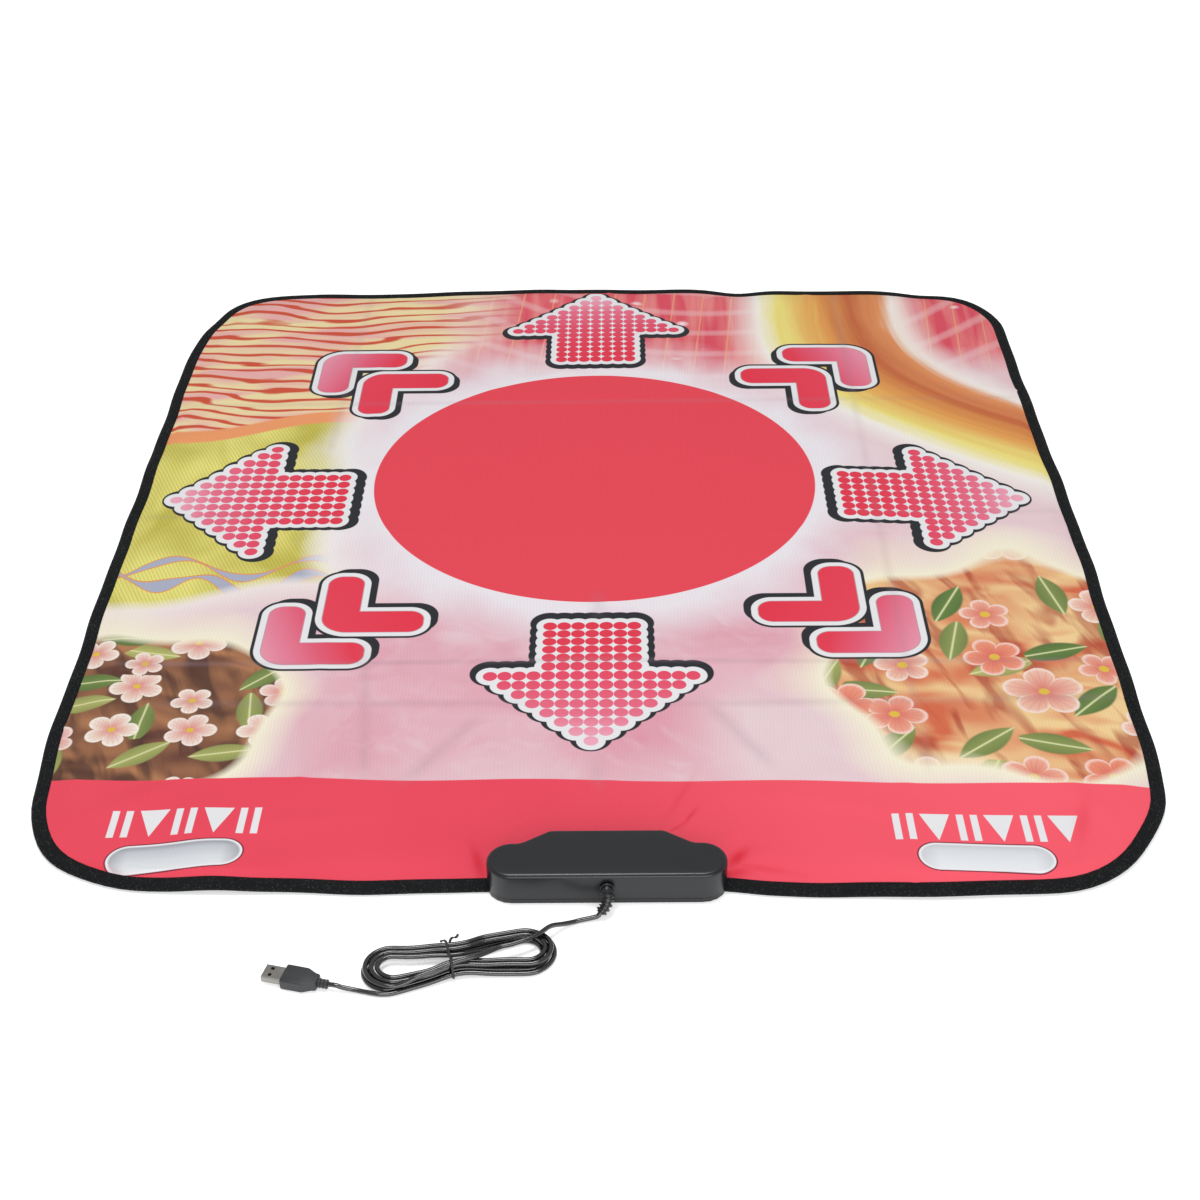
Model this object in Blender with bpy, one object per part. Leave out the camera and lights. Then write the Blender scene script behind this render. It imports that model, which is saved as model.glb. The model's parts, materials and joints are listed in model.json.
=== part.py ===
# Dance mat controller: a flexible mat with ten step zones, a control box on its front edge
# and a thin cord tied in a hank, with a rectangular plug on its end.
# Metres, +Z up. The origin is on the underside, in the middle of the mat. -Y is the side
# of the control box, and the back arrow points to +Y.

import math

import bmesh
import bpy
import numpy as np

# Mat
CLEARANCE = 0.0003
MAT_WIDTH = 0.820
MAT_LENGTH = 0.930
MAT_CORNER_RADIUS = 0.097
BACKING_THICKNESS = 0.0006
FILM_THICKNESS = 0.00025
PRINT_THICKNESS = 0.00015
FOAM_THICKNESS = 0.0028
COVER_THICKNESS = 0.0005
BINDING_THICKNESS = 0.0005
BINDING_WIDTH = 0.013
BINDING_CHAMFER = 0.0003
STEP_RUN = 0.0002  # how far the cover's and the backing's step beside the binding leans
CORNER_STEPS = 8
CUT_PAST = 0.010  # how far a cutter reaches past what it cuts

# Step zones. A margin is the distance to the mat's edge on that side: from an arrow's tip,
# from a chevron's elbow (across, then along the mat) or from an oval's middle.
# An arrow is printed in dots, at a pitch along it and a pitch across it: its head widens by
# a dot on each side in each row, and a border runs round the outermost dots
ZONE_SEAM = 0.0004
ARROW_HEAD_ROWS = 7
ARROW_STEM_ROWS = 6
ARROW_STEM_COLUMNS = 3  # on each side of the middle one
ARROW_BORDER = 0.011
ARROW_CORNER_STEPS = 6
BACK_ARROW_MARGIN = 0.0155
BACK_ARROW_X = -0.0034
BACK_ARROW_PITCH = (0.01047, 0.01123)
FRONT_ARROW_MARGIN = 0.1473
FRONT_ARROW_X = -0.0039
FRONT_ARROW_PITCH = (0.01139, 0.01119)
LEFT_ARROW_MARGIN = 0.0273
LEFT_ARROW_Y = 0.0417
LEFT_ARROW_PITCH = (0.01116, 0.01218)
RIGHT_ARROW_MARGIN = 0.0323
RIGHT_ARROW_Y = 0.0343
RIGHT_ARROW_PITCH = (0.01140, 0.01083)
RIGHT_ARROW_HEADING = -3.8
CHEVRON_ARM_X = 0.103
CHEVRON_ARM_Y = 0.100
CHEVRON_BAND = 0.042
CHEVRON_ELBOW_RADIUS = 0.030
CHEVRON_END_RADIUS = 0.0195
FRONT_LEFT_MARGINS = (0.139, 0.248)
FRONT_RIGHT_MARGINS = (0.144, 0.257)
BACK_LEFT_MARGINS = (0.130, 0.137)
BACK_RIGHT_MARGINS = (0.135, 0.136)
OVAL_LENGTH = 0.092
OVAL_WIDTH = 0.027
OVAL_FRONT_MARGIN = 0.0305
OVAL_END_FLAT = 0.0010  # the short straight between the two rounds of an oval's end
START_OVAL_MARGIN = 0.125
SELECT_OVAL_MARGIN = 0.135
ARROW_CONTACT_RADIUS = 0.030
ARROW_CONTACT_PLACE = 0.1  # the patch's middle, past the widest row, as a share of the head
CHEVRON_CONTACT_RADIUS = 0.022
OVAL_CONTACT_LENGTH = 0.060
OVAL_CONTACT_WIDTH = 0.014
TRACK_WIDTH = 0.006
SPINE_START = 0.004  # the middle track's front end, behind the notch
TRACK_START = 0.008  # the frontmost cross track, behind the notch

# Control box
BOX_X = 0.008
BOX_WIDTH = 0.162
BOX_OVERHANG = 0.0105  # the box's front face ahead of the mat's edge
BOX_SHOULDER_REACH = 0.0245  # the shoulders' back, behind the mat's edge
BOX_BUMP_REACH = 0.0375
BOX_BUMP_WIDTH = 0.078
BOX_BUMP_FOOT_WIDTH = 0.118
BOX_FRONT_RADIUS = 0.017
BOX_SHOULDER_RADIUS = 0.017
BOX_BUMP_RADIUS = 0.009
BOX_FOOT_RADIUS = 0.012
BOX_HEIGHT = 0.0250
BOX_WALL = 0.0020
BOX_EDGE_ROUND = 0.0014
BOX_FOOT_CHAMFER = 0.0008
SEAM_HEIGHT = 0.0040
BOX_FLOOR = 0.0020
NOTCH_WIDTH = 0.110
NOTCH_DEPTH = 0.0215
BOSS_RADIUS = 0.0030
BOSS_X = 0.047
BOSS_FRONT_Y = -0.0030  # both boss rows, behind the mat's edge
BOSS_BACK_Y = 0.0140
SCREW_RADIUS = 0.0010
SCREW_HEAD_RADIUS = 0.0023
SCREW_HEAD_HEIGHT = 0.0010
SCREW_HEAD_FACE = 0.84  # the face's radius, as a share of the head's
SCREW_HEAD_ROUND = 0.4  # the rounded part, as a share of the head's height
CROSS_ARM = 0.56  # the cross recess, as shares of the head's radius and height
CROSS_SLOT = 0.18
CROSS_DEPTH = 0.6
SCREW_RECESS = 0.0013
SCREW_LENGTH = 0.0090
SCREW_POINT = 0.5  # the point's radius, as a share of the shank's
PILOT_CLEARANCE = 0.0002
PILOT_ROOM = 0.0015  # past a screw's end

# Circuit
BOARD_WIDTH = 0.080
BOARD_DEPTH = 0.024
BOARD_THICKNESS = 0.0016
BOARD_CORNER_RADIUS = 0.0010
BOARD_HEIGHT = 0.0083
BOARD_BACK_Y = 0.0180
POST_RADIUS = 0.0026
POST_X = 0.034
POST_Y = 0.0100
BOARD_SCREW_LENGTH = 0.0050
CHIP_SIZE = (0.0130, 0.0078, 0.0022)
CHIP_X = -0.010
CHIP_TAPER = 0.0003
CHIP_CORNER_RADIUS = 0.0004
CRYSTAL_SIZE = (0.0105, 0.0045, 0.0035)
CRYSTAL_X = 0.013
CAPACITOR_RADIUS = 0.0025
CAPACITOR_HEIGHT = 0.0070
CAPACITOR_X = 0.027
CAN_ROUND = 0.0004  # at the tops of the crystal and the capacitor
PARTS_Y = 0.0120  # the chip's, crystal's and capacitor's middles, behind the mat's edge
TAIL_WIDTH = 0.036
TAIL_THICKNESS = 0.0002
TAIL_ROOT = 0.0080
TAIL_BEND = 0.0020  # the length of each of the tail's two bends
TAIL_EASE = 0.0006  # how far a bend has risen by its inner end
PAD_DEPTH = 0.0060
PAD_Y = 0.0050

# Cord
CORD_DIAMETER = 0.0033
CORD_EXIT_HEIGHT = 0.0146
CORD_SPACING = 0.0066  # between sections of the cord's loose run to the plug
RELIEF_NECK_RADIUS = 0.0029
RELIEF_FLANGE_RADIUS = 0.0042
RELIEF_FLANGE_THICKNESS = 0.0015
RELIEF_SHOULDER = 0.0004
RELIEF_ROOT_RADIUS = 0.0038
RELIEF_END_RADIUS = 0.0027
RELIEF_RINGS = 7
RELIEF_GROOVE = 0.0008
RELIEF_SIDES = 10
RELIEF_BEND = [  # from the face of the box to the relief's end
    (0.0, 0.0, 0.0),
    (0.0001, -0.0032, -0.0004),
    (0.0005, -0.0064, -0.0032),
    (-0.0010, -0.0098, -0.0070),
    (-0.0046, -0.0132, -0.0103),
]
WIRE_DIAMETER = 0.0009
WIRE_SPREAD = 0.0015  # between wires where they leave the relief
WIRE_PITCH = 0.0030  # between wires on the board
HANK_CENTRE = (-0.0885, -0.5315)
HANK_HEADING = 10.8
HANK_HALF_RUN = 0.0443
HANK_INNER_RADIUS = 0.0102
HANK_TURNS = 5
HANK_STEP = 0.0039
HANK_LAYER = 0.00385
HANK_WAIST_DRAW = 0.0075
FLOOR_GAP = 0.0001
RUN_STEPS = 4
END_STEPS = 8
TIE_DIAMETER = 0.0012
TIE_HALF_SPREAD = 0.0010
PLUG_PLACE = (-0.1700, -0.5538)
PLUG_HEADING = 165.5
PLUG_SHELL_WIDTH = 0.0120
PLUG_SHELL_HEIGHT = 0.0045
PLUG_SHELL_WALL = 0.0003
PLUG_SHELL_RADIUS = 0.0006
PLUG_SHELL_LENGTH = 0.0180
PLUG_SHELL_SEAT = 0.0050
PLUG_BODY_WIDTH = 0.0158
PLUG_BODY_HEIGHT = 0.0080
PLUG_BODY_LENGTH = 0.0235
PLUG_RING_RADIUS = 0.0031
PLUG_RING_GROOVE = 0.0006
PLUG_RING_COUNT = 3
PLUG_RING_PITCH = 0.0022
PLUG_RING_SHARES = (0.55, 0.60, 0.95)  # of a ring's pitch: its edge, the groove's start and end
PLUG_SECTIONS = [  # after the rings: x, width, height, corner radius
    (0.0000, 0.0092, 0.0060, 0.0016),
    (0.0005, 0.0100, 0.0066, 0.0018),
    (0.0030, 0.0108, 0.0068, 0.0018),
    (0.0080, 0.0152, 0.0078, 0.0016),
]
PLUG_SECTION_STEPS = 3
PLUG_BODY_START = 0.0100  # where the body's full section starts, after the rings
PLUG_BODY_RADIUS = 0.0014
PLUG_FACE_CHAMFER = 0.0005
PLUG_WINDOW_SIZE = 0.0023
PLUG_WINDOW_PITCH = 0.0056
PLUG_WINDOW_DISTANCE = 0.0038  # from the shell's mouth
INSERT_THICKNESS = 0.0018
INSERT_RECESS = 0.0006
CONTACT_WIDTH = 0.0010
CONTACT_PITCH = 0.0024
CONTACT_THICKNESS = 0.0002
CONTACT_LENGTH = 0.0100
CONTACT_RECESS = 0.0008
CONTACT_GAP = 0.0001

# Heights of the mat's layers, from the floor up
backing_top = BACKING_THICKNESS
lower_film_bottom = backing_top + CLEARANCE
lower_film_top = lower_film_bottom + FILM_THICKNESS
circuit_bottom = lower_film_top + CLEARANCE
circuit_top = circuit_bottom + PRINT_THICKNESS
foam_bottom = circuit_top + CLEARANCE
foam_top = foam_bottom + FOAM_THICKNESS
upper_film_bottom = foam_top + CLEARANCE
upper_film_top = upper_film_bottom + FILM_THICKNESS
cover_bottom = upper_film_top + CLEARANCE
cover_top = cover_bottom + COVER_THICKNESS
margin_inset = BINDING_WIDTH + CLEARANCE
core_inset = margin_inset + 2 * STEP_RUN + COVER_THICKNESS + CLEARANCE

# Places on the mat
front_edge, back_edge = -MAT_LENGTH / 2, MAT_LENGTH / 2
left_edge, right_edge = -MAT_WIDTH / 2, MAT_WIDTH / 2
notch_y = front_edge + NOTCH_DEPTH
arrows = {  # the dot at the tip, the heading, the dots' pitches
    "back_arrow": (
        (BACK_ARROW_X, back_edge - BACK_ARROW_MARGIN - ARROW_BORDER), 90, BACK_ARROW_PITCH,
    ),
    "front_arrow": (
        (FRONT_ARROW_X, front_edge + FRONT_ARROW_MARGIN + ARROW_BORDER), -90,
        FRONT_ARROW_PITCH,
    ),
    "left_arrow": (
        (left_edge + LEFT_ARROW_MARGIN + ARROW_BORDER, LEFT_ARROW_Y), 180,
        LEFT_ARROW_PITCH,
    ),
    "right_arrow": (
        (right_edge - RIGHT_ARROW_MARGIN - ARROW_BORDER, RIGHT_ARROW_Y), RIGHT_ARROW_HEADING,
        RIGHT_ARROW_PITCH,
    ),
}
elbows = {
    "front_left_chevron": (
        left_edge + FRONT_LEFT_MARGINS[0], front_edge + FRONT_LEFT_MARGINS[1],
    ),
    "front_right_chevron": (
        right_edge - FRONT_RIGHT_MARGINS[0], front_edge + FRONT_RIGHT_MARGINS[1],
    ),
    "back_left_chevron": (
        left_edge + BACK_LEFT_MARGINS[0], back_edge - BACK_LEFT_MARGINS[1],
    ),
    "back_right_chevron": (
        right_edge - BACK_RIGHT_MARGINS[0], back_edge - BACK_RIGHT_MARGINS[1],
    ),
}
oval_y = front_edge + OVAL_FRONT_MARGIN
ovals = {
    "start_oval": left_edge + START_OVAL_MARGIN,
    "select_oval": right_edge - SELECT_OVAL_MARGIN,
}

# Colours
INK_RED = (0.75, 0.08, 0.10)
MATERIALS = {
    "backing": ((0.03, 0.03, 0.03), 0.9, 0.0),
    "film": ((0.75, 0.78, 0.75), 0.3, 0.0),
    "silver_print": ((0.55, 0.56, 0.58), 0.5, 0.4),
    "carbon_print": ((0.04, 0.04, 0.04), 0.7, 0.0),
    "foam": ((0.78, 0.76, 0.66), 0.95, 0.0),
    "cover": ((0.85, 0.45, 0.50), 0.45, 0.0),
    "red_zone": (INK_RED, 0.45, 0.0),
    "grey_zone": ((0.45, 0.46, 0.48), 0.45, 0.0),
    "binding": ((0.025, 0.027, 0.030), 0.8, 0.0),
    "box": ((0.04, 0.042, 0.045), 0.4, 0.0),
    "board": ((0.02, 0.16, 0.06), 0.5, 0.0),
    "chip": ((0.02, 0.02, 0.02), 0.4, 0.0),
    "metal": ((0.65, 0.65, 0.66), 0.3, 1.0),
    "cord": ((0.03, 0.03, 0.032), 0.35, 0.0),
    "insert": ((0.85, 0.85, 0.83), 0.5, 0.0),
    "gold": ((0.85, 0.62, 0.25), 0.3, 1.0),
    "rubber": ((0.05, 0.05, 0.05), 0.8, 0.0),
    "red_wire": ((0.6, 0.03, 0.03), 0.4, 0.0),
    "white_wire": ((0.8, 0.8, 0.8), 0.4, 0.0),
    "green_wire": ((0.03, 0.4, 0.08), 0.4, 0.0),
    "black_wire": ((0.02, 0.02, 0.02), 0.4, 0.0),
}


def clear_scene():
    for old in list(bpy.data.objects):
        bpy.data.objects.remove(old, do_unlink=True)


def material(slot):
    found = bpy.data.materials.get(slot)
    if found:
        return found
    made = bpy.data.materials.new(slot)
    made.use_nodes = True
    colour, roughness, metallic = MATERIALS[slot]
    shader = made.node_tree.nodes["Principled BSDF"]
    shader.inputs["Base Color"].default_value = (*colour, 1.0)
    shader.inputs["Roughness"].default_value = roughness
    shader.inputs["Metallic"].default_value = metallic
    return made


def add_object(name, data, slot):
    made = bpy.data.objects.new(name, data)
    bpy.context.scene.collection.objects.link(made)
    made.data.materials.append(material(slot))
    return made


def hide(helper):
    """Make a piece that only cuts or joins others, and isn't part of the object."""
    helper.hide_render = True
    helper.display_type = "WIRE"
    return helper


# Outlines: closed lists of (x, y), anticlockwise


def offset_corners(corners, grow):
    """The corners (x, y, fillet radius) moved outwards by grow, with their fillets kept parallel."""
    moved = []
    for index, (x, y, radius) in enumerate(corners):
        before = np.array(corners[index - 1][:2])
        after = np.array(corners[(index + 1) % len(corners)][:2])
        here = np.array((x, y))
        way_in = (here - before) / np.linalg.norm(here - before)
        way_out = (after - here) / np.linalg.norm(after - here)
        normal_in = np.array((way_in[1], -way_in[0]))
        normal_out = np.array((way_out[1], -way_out[0]))
        turn = way_in[0] * way_out[1] - way_in[1] * way_out[0]
        shift = (normal_in + normal_out) * grow / (1 + normal_in @ normal_out)
        fillet = radius + grow * math.copysign(1, turn) if radius > 0 else 0.0
        moved.append((here[0] + shift[0], here[1] + shift[1], max(fillet, 0.0)))
    return moved


def rounded(corners, steps=3):
    """The outline through the corners, each fillet as an arc of so many steps."""
    outline = []
    for index, (x, y, radius) in enumerate(corners):
        here = np.array((x, y))
        if radius <= 0:
            outline.append(tuple(here))
            continue
        before = np.array(corners[index - 1][:2])
        after = np.array(corners[(index + 1) % len(corners)][:2])
        to_before = (before - here) / np.linalg.norm(before - here)
        to_after = (after - here) / np.linalg.norm(after - here)
        half = math.acos(np.clip(to_before @ to_after, -1, 1)) / 2
        middle = (to_before + to_after) / np.linalg.norm(to_before + to_after)
        centre = here + middle * radius / math.sin(half)
        start = here + to_before * radius / math.tan(half) - centre
        turn = to_before[1] * to_after[0] - to_before[0] * to_after[1]
        sweep = math.copysign(math.pi - 2 * half, turn)
        for step in range(steps + 1):
            angle = sweep * step / steps
            spin = np.array(
                ((math.cos(angle), -math.sin(angle)), (math.sin(angle), math.cos(angle)))
            )
            outline.append(tuple(centre + spin @ start))
    return outline


def placed(outline, place, heading=0.0):
    turn = math.radians(heading)
    return [
        (
            place[0] + x * math.cos(turn) - y * math.sin(turn),
            place[1] + x * math.sin(turn) + y * math.cos(turn),
        )
        for x, y in outline
    ]


def circle(centre, radius, count=16):
    return [
        (
            centre[0] + radius * math.cos(2 * math.pi * step / count),
            centre[1] + radius * math.sin(2 * math.pi * step / count),
        )
        for step in range(count)
    ]


def rectangle(width, depth, radius=0.0):
    return [
        (-width / 2, -depth / 2, radius),
        (width / 2, -depth / 2, radius),
        (width / 2, depth / 2, radius),
        (-width / 2, depth / 2, radius),
    ]


def mat_outline(inset):
    corners = rectangle(MAT_WIDTH, MAT_LENGTH, MAT_CORNER_RADIUS)
    return rounded(offset_corners(corners, -inset), CORNER_STEPS)


def arrow_outline(arrow, grow=0.0):
    """The arrow through its outermost dots, widened by its border, which rounds its corners."""
    tip, heading, (row, column) = arrow
    head = ARROW_HEAD_ROWS * row
    stem_end = head + ARROW_STEM_ROWS * row
    half_head, half_stem = ARROW_HEAD_ROWS * column, ARROW_STEM_COLUMNS * column
    dots = [
        (-stem_end, -half_stem, 0.0),
        (-head, -half_stem, 0.0),
        (-head, -half_head, 0.0),
        (0, 0, 0.0),
        (-head, half_head, 0.0),
        (-head, half_stem, 0.0),
        (-stem_end, half_stem, 0.0),
    ]
    corners = [
        (x, y, 0.0 if index in (1, 5) else ARROW_BORDER)
        for index, (x, y, _radius) in enumerate(offset_corners(dots, ARROW_BORDER))
    ]
    outline = rounded(offset_corners(corners, grow), ARROW_CORNER_STEPS)
    return placed(outline, tip, heading)


def chevron_outline(elbow, grow=0.0):
    """Two nested elbows with round ends, whose corner points to the mat's nearest corner."""
    band, end = CHEVRON_BAND, CHEVRON_END_RADIUS
    arm_x, arm_y = CHEVRON_ARM_X, CHEVRON_ARM_Y
    corners = [
        (0, 0, CHEVRON_ELBOW_RADIUS),
        (arm_x, 0, end),
        (arm_x, band, 0.0),
        (arm_x + band, band, end),
        (arm_x + band, 2 * band, end),
        (2 * band, 2 * band, 0.0),
        (2 * band, arm_y + band, end),
        (band, arm_y + band, end),
        (band, arm_y, 0.0),
        (0, arm_y, end),
    ]
    inwards_x = -math.copysign(1, elbow[0])
    inwards_y = -math.copysign(1, elbow[1])
    outline = [
        (elbow[0] + inwards_x * x, elbow[1] + inwards_y * y)
        for x, y in rounded(offset_corners(corners, grow))
    ]
    return outline if inwards_x == inwards_y else outline[::-1]


def oval_outline(x, length=OVAL_LENGTH, width=OVAL_WIDTH, grow=0.0):
    corners = offset_corners(rectangle(length, width, width / 2 - OVAL_END_FLAT / 2), grow)
    return placed(rounded(corners, 5), (x, oval_y))


def arrow_middle(arrow):
    tip, heading, (row, _column) = arrow
    back = (ARROW_CONTACT_PLACE - 1) * ARROW_HEAD_ROWS * row
    return placed([(back, 0)], tip, heading)[0]


def chevron_middle(elbow):
    return (
        elbow[0] - math.copysign(CHEVRON_BAND, elbow[0]),
        elbow[1] - math.copysign(CHEVRON_BAND, elbow[1]),
    )


def box_outline(inset):
    """The control box from above: straight front, round shoulders and a bump at the back."""
    half, front = BOX_WIDTH / 2, -BOX_OVERHANG
    corners = [
        (-half, front, BOX_FRONT_RADIUS),
        (half, front, BOX_FRONT_RADIUS),
        (half, BOX_SHOULDER_REACH, BOX_SHOULDER_RADIUS),
        (BOX_BUMP_FOOT_WIDTH / 2, BOX_SHOULDER_REACH, BOX_FOOT_RADIUS),
        (BOX_BUMP_WIDTH / 2, BOX_BUMP_REACH, BOX_BUMP_RADIUS),
        (-BOX_BUMP_WIDTH / 2, BOX_BUMP_REACH, BOX_BUMP_RADIUS),
        (-BOX_BUMP_FOOT_WIDTH / 2, BOX_SHOULDER_REACH, BOX_FOOT_RADIUS),
        (-half, BOX_SHOULDER_REACH, BOX_SHOULDER_RADIUS),
    ]
    outline = rounded(offset_corners(corners, -inset), 5)
    return placed(outline, (BOX_X, front_edge))


# Solids


def stacked(name, rings, slot, windows=()):
    """A closed solid through rings of like point counts, each an outline at a height.

    The first and last rings are filled, and each window goes straight from one to the other.
    """
    mesh = bpy.data.meshes.new(name)
    made = bmesh.new()
    loops = [[made.verts.new((x, y, z)) for x, y in outline] for outline, z in rings]
    first_z, last_z = rings[0][1], rings[-1][1]
    holes = [
        [[made.verts.new((x, y, z)) for x, y in window] for z in (first_z, last_z)]
        for window in windows
    ]
    for one, other in zip(loops, loops[1:]):
        bridge(made, one, other)
    for one, other in holes:
        bridge(made, one, other)
    fill(made, [loops[0]] + [hole[0] for hole in holes])
    fill(made, [loops[-1]] + [hole[1] for hole in holes])
    bmesh.ops.recalc_face_normals(made, faces=made.faces)
    made.to_mesh(mesh)
    made.free()
    return add_object(name, mesh, slot)


def bridge(made, one, other):
    for index in range(len(one)):
        after = (index + 1) % len(one)
        made.faces.new((one[index], one[after], other[after], other[index]))


def fill(made, loops):
    edges = []
    for loop in loops:
        for index, vert in enumerate(loop):
            pair = (vert, loop[(index + 1) % len(loop)])
            edges.append(made.edges.get(pair) or made.edges.new(pair))
    bmesh.ops.triangle_fill(made, edges=edges, use_beauty=True, use_dissolve=False)


def swept(name, frames, section_of, slot):
    """A closed solid that carries a section along frames, each a point and two directions."""
    mesh = bpy.data.meshes.new(name)
    made = bmesh.new()
    loops = []
    for index, (point, across, upward) in enumerate(frames):
        section = section_of(index)
        loops.append([made.verts.new(point + a * across + b * upward) for a, b in section])
    for one, other in zip(loops, loops[1:]):
        bridge(made, one, other)
    fill(made, [loops[0]])
    fill(made, [loops[-1]])
    bmesh.ops.recalc_face_normals(made, faces=made.faces)
    made.to_mesh(mesh)
    made.free()
    return add_object(name, mesh, slot)


def smooth(piece):
    piece.data.shade_smooth()
    piece.data.set_sharp_from_angle(angle=math.radians(35))
    return piece


def boolean(piece, operation, *helpers):
    for helper in helpers:
        cut = piece.modifiers.new(operation.lower() + " " + helper.name, "BOOLEAN")
        cut.operation = operation
        cut.object = hide(helper)
    return piece


# Routes


def catmull(points, spacing):
    """Points at a steady spacing on the smooth curve through the points."""
    knots = np.array(points, float)
    padded = np.vstack((2 * knots[0] - knots[1], knots, 2 * knots[-1] - knots[-2]))
    curve = []
    for index in range(len(knots) - 1):
        p0, p1, p2, p3 = padded[index : index + 4]
        for share in np.linspace(0, 1, 40, endpoint=False):
            curve.append(
                0.5
                * (
                    2 * p1
                    + (p2 - p0) * share
                    + (2 * p0 - 5 * p1 + 4 * p2 - p3) * share**2
                    + (3 * p1 - p0 - 3 * p2 + p3) * share**3
                )
            )
    curve.append(knots[-1])
    return resampled(np.array(curve), spacing)


def resampled(curve, spacing):
    along = lengths_along(curve)
    count = max(2, round(along[-1] / spacing) + 1)
    places = np.linspace(0, along[-1], count)
    return np.column_stack([np.interp(places, along, curve[:, axis]) for axis in range(3)])


def lengths_along(curve):
    return np.concatenate(((0,), np.cumsum(np.linalg.norm(np.diff(curve, axis=0), axis=1))))


def tube(name, points, diameter, slot, resolution):
    curve = bpy.data.curves.new(name, "CURVE")
    curve.dimensions = "3D"
    curve.bevel_depth = diameter / 2
    curve.bevel_resolution = resolution
    curve.use_fill_caps = True
    spline = curve.splines.new("POLY")
    spline.points.add(len(points) - 1)
    for spot, point in zip(spline.points, points):
        spot.co = (*point, 1.0)
    return add_object(name, curve, slot)


# The mat's layers and zones


def zone_outlines(grow=0.0):
    outlines = {name: arrow_outline(arrow, grow) for name, arrow in arrows.items()}
    for name, elbow in elbows.items():
        outlines[name] = chevron_outline(elbow, grow)
    for name, x in ovals.items():
        outlines[name] = oval_outline(x, grow=grow)
    return outlines


def contact_outlines():
    """The conductive patch of each zone, the same on the upper and the lower film."""
    outlines = {}
    for name, arrow in arrows.items():
        outlines[name] = circle(arrow_middle(arrow), ARROW_CONTACT_RADIUS)
    for name, elbow in elbows.items():
        outlines[name] = circle(chevron_middle(elbow), CHEVRON_CONTACT_RADIUS)
    for name, x in ovals.items():
        outlines[name] = oval_outline(x, OVAL_CONTACT_LENGTH, OVAL_CONTACT_WIDTH)
    return outlines


def block(name, low, high, slot="box"):
    outline = [(low[0], low[1]), (high[0], low[1]), (high[0], high[1]), (low[0], high[1])]
    return stacked(name, [(outline, high[2]), (outline, low[2])], slot)


def make_mat():
    notch_low = (BOX_X - NOTCH_WIDTH / 2, front_edge - CUT_PAST, -CUT_PAST)
    notch_high = (BOX_X + NOTCH_WIDTH / 2, notch_y, cover_top + CUT_PAST)
    notch = block("notch_cutter", notch_low, notch_high)
    low_x, high_x = notch_low[0], notch_high[0]
    tail_half = TAIL_WIDTH / 2 + CLEARANCE
    tail_y = notch_y + TAIL_ROOT + CLEARANCE
    foam_notch_shape = [
        (low_x, notch_low[1]), (high_x, notch_low[1]), (high_x, notch_y),
        (BOX_X + tail_half, notch_y), (BOX_X + tail_half, tail_y),
        (BOX_X - tail_half, tail_y), (BOX_X - tail_half, notch_y), (low_x, notch_y),
    ]
    foam_notch_rings = [(foam_notch_shape, notch_high[2]), (foam_notch_shape, notch_low[2])]
    foam_notch = stacked("foam_notch_cutter", foam_notch_rings, "foam")
    windows = list(zone_outlines(ZONE_SEAM).values())
    margin_drop = BINDING_THICKNESS + CLEARANCE
    hem = margin_drop

    backing_rings = [
        (mat_outline(margin_inset + 2 * STEP_RUN + BACKING_THICKNESS), backing_top),
        (mat_outline(margin_inset + STEP_RUN + BACKING_THICKNESS), backing_top + margin_drop),
        (mat_outline(hem), backing_top + margin_drop),
        (mat_outline(hem), margin_drop),
        (mat_outline(margin_inset), margin_drop),
        (mat_outline(margin_inset + STEP_RUN), 0.0),
    ]
    boolean(stacked("bottom_sheet", backing_rings, "backing"), "DIFFERENCE", notch)

    core = mat_outline(core_inset)
    film = stacked("lower_film", [(core, lower_film_top), (core, lower_film_bottom)], "film")
    boolean(film, "DIFFERENCE", notch)
    foam = stacked("foam_spacer", [(core, foam_top), (core, foam_bottom)], "foam", windows)
    boolean(foam, "DIFFERENCE", foam_notch)
    film = stacked(
        "upper_film", [(core, upper_film_top), (core, upper_film_bottom)], "film", windows
    )
    boolean(film, "DIFFERENCE", notch)

    cover_rings = [
        (mat_outline(margin_inset + STEP_RUN), cover_top),
        (mat_outline(margin_inset), cover_top - margin_drop),
        (mat_outline(hem), cover_top - margin_drop),
        (mat_outline(hem), cover_bottom - margin_drop),
        (mat_outline(margin_inset + STEP_RUN + COVER_THICKNESS), cover_bottom - margin_drop),
        (mat_outline(margin_inset + 2 * STEP_RUN + COVER_THICKNESS), cover_bottom),
    ]
    boolean(stacked("top_cover", cover_rings, "cover", windows), "DIFFERENCE", notch)
    make_binding(notch)
    make_circuit()


def make_binding(notch):
    """A tape folded round the mat's edge: its section runs round the outline as nested rings."""
    thick, chamfer = BINDING_THICKNESS, BINDING_CHAMFER
    section = [
        (chamfer, 0.0),
        (BINDING_WIDTH, 0.0),
        (BINDING_WIDTH, thick),
        (thick, thick),
        (thick, cover_top - thick),
        (BINDING_WIDTH, cover_top - thick),
        (BINDING_WIDTH, cover_top),
        (chamfer, cover_top),
        (0.0, cover_top - chamfer),
        (0.0, chamfer),
    ]
    mesh = bpy.data.meshes.new("edge_binding")
    made = bmesh.new()
    loops = [
        [made.verts.new((x, y, z)) for x, y in mat_outline(inset)] for inset, z in section
    ]
    for index, loop in enumerate(loops):
        bridge(made, loop, loops[(index + 1) % len(loops)])
    bmesh.ops.recalc_face_normals(made, faces=made.faces)
    made.to_mesh(mesh)
    made.free()
    boolean(add_object("edge_binding", mesh, "binding"), "DIFFERENCE", notch)


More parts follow.
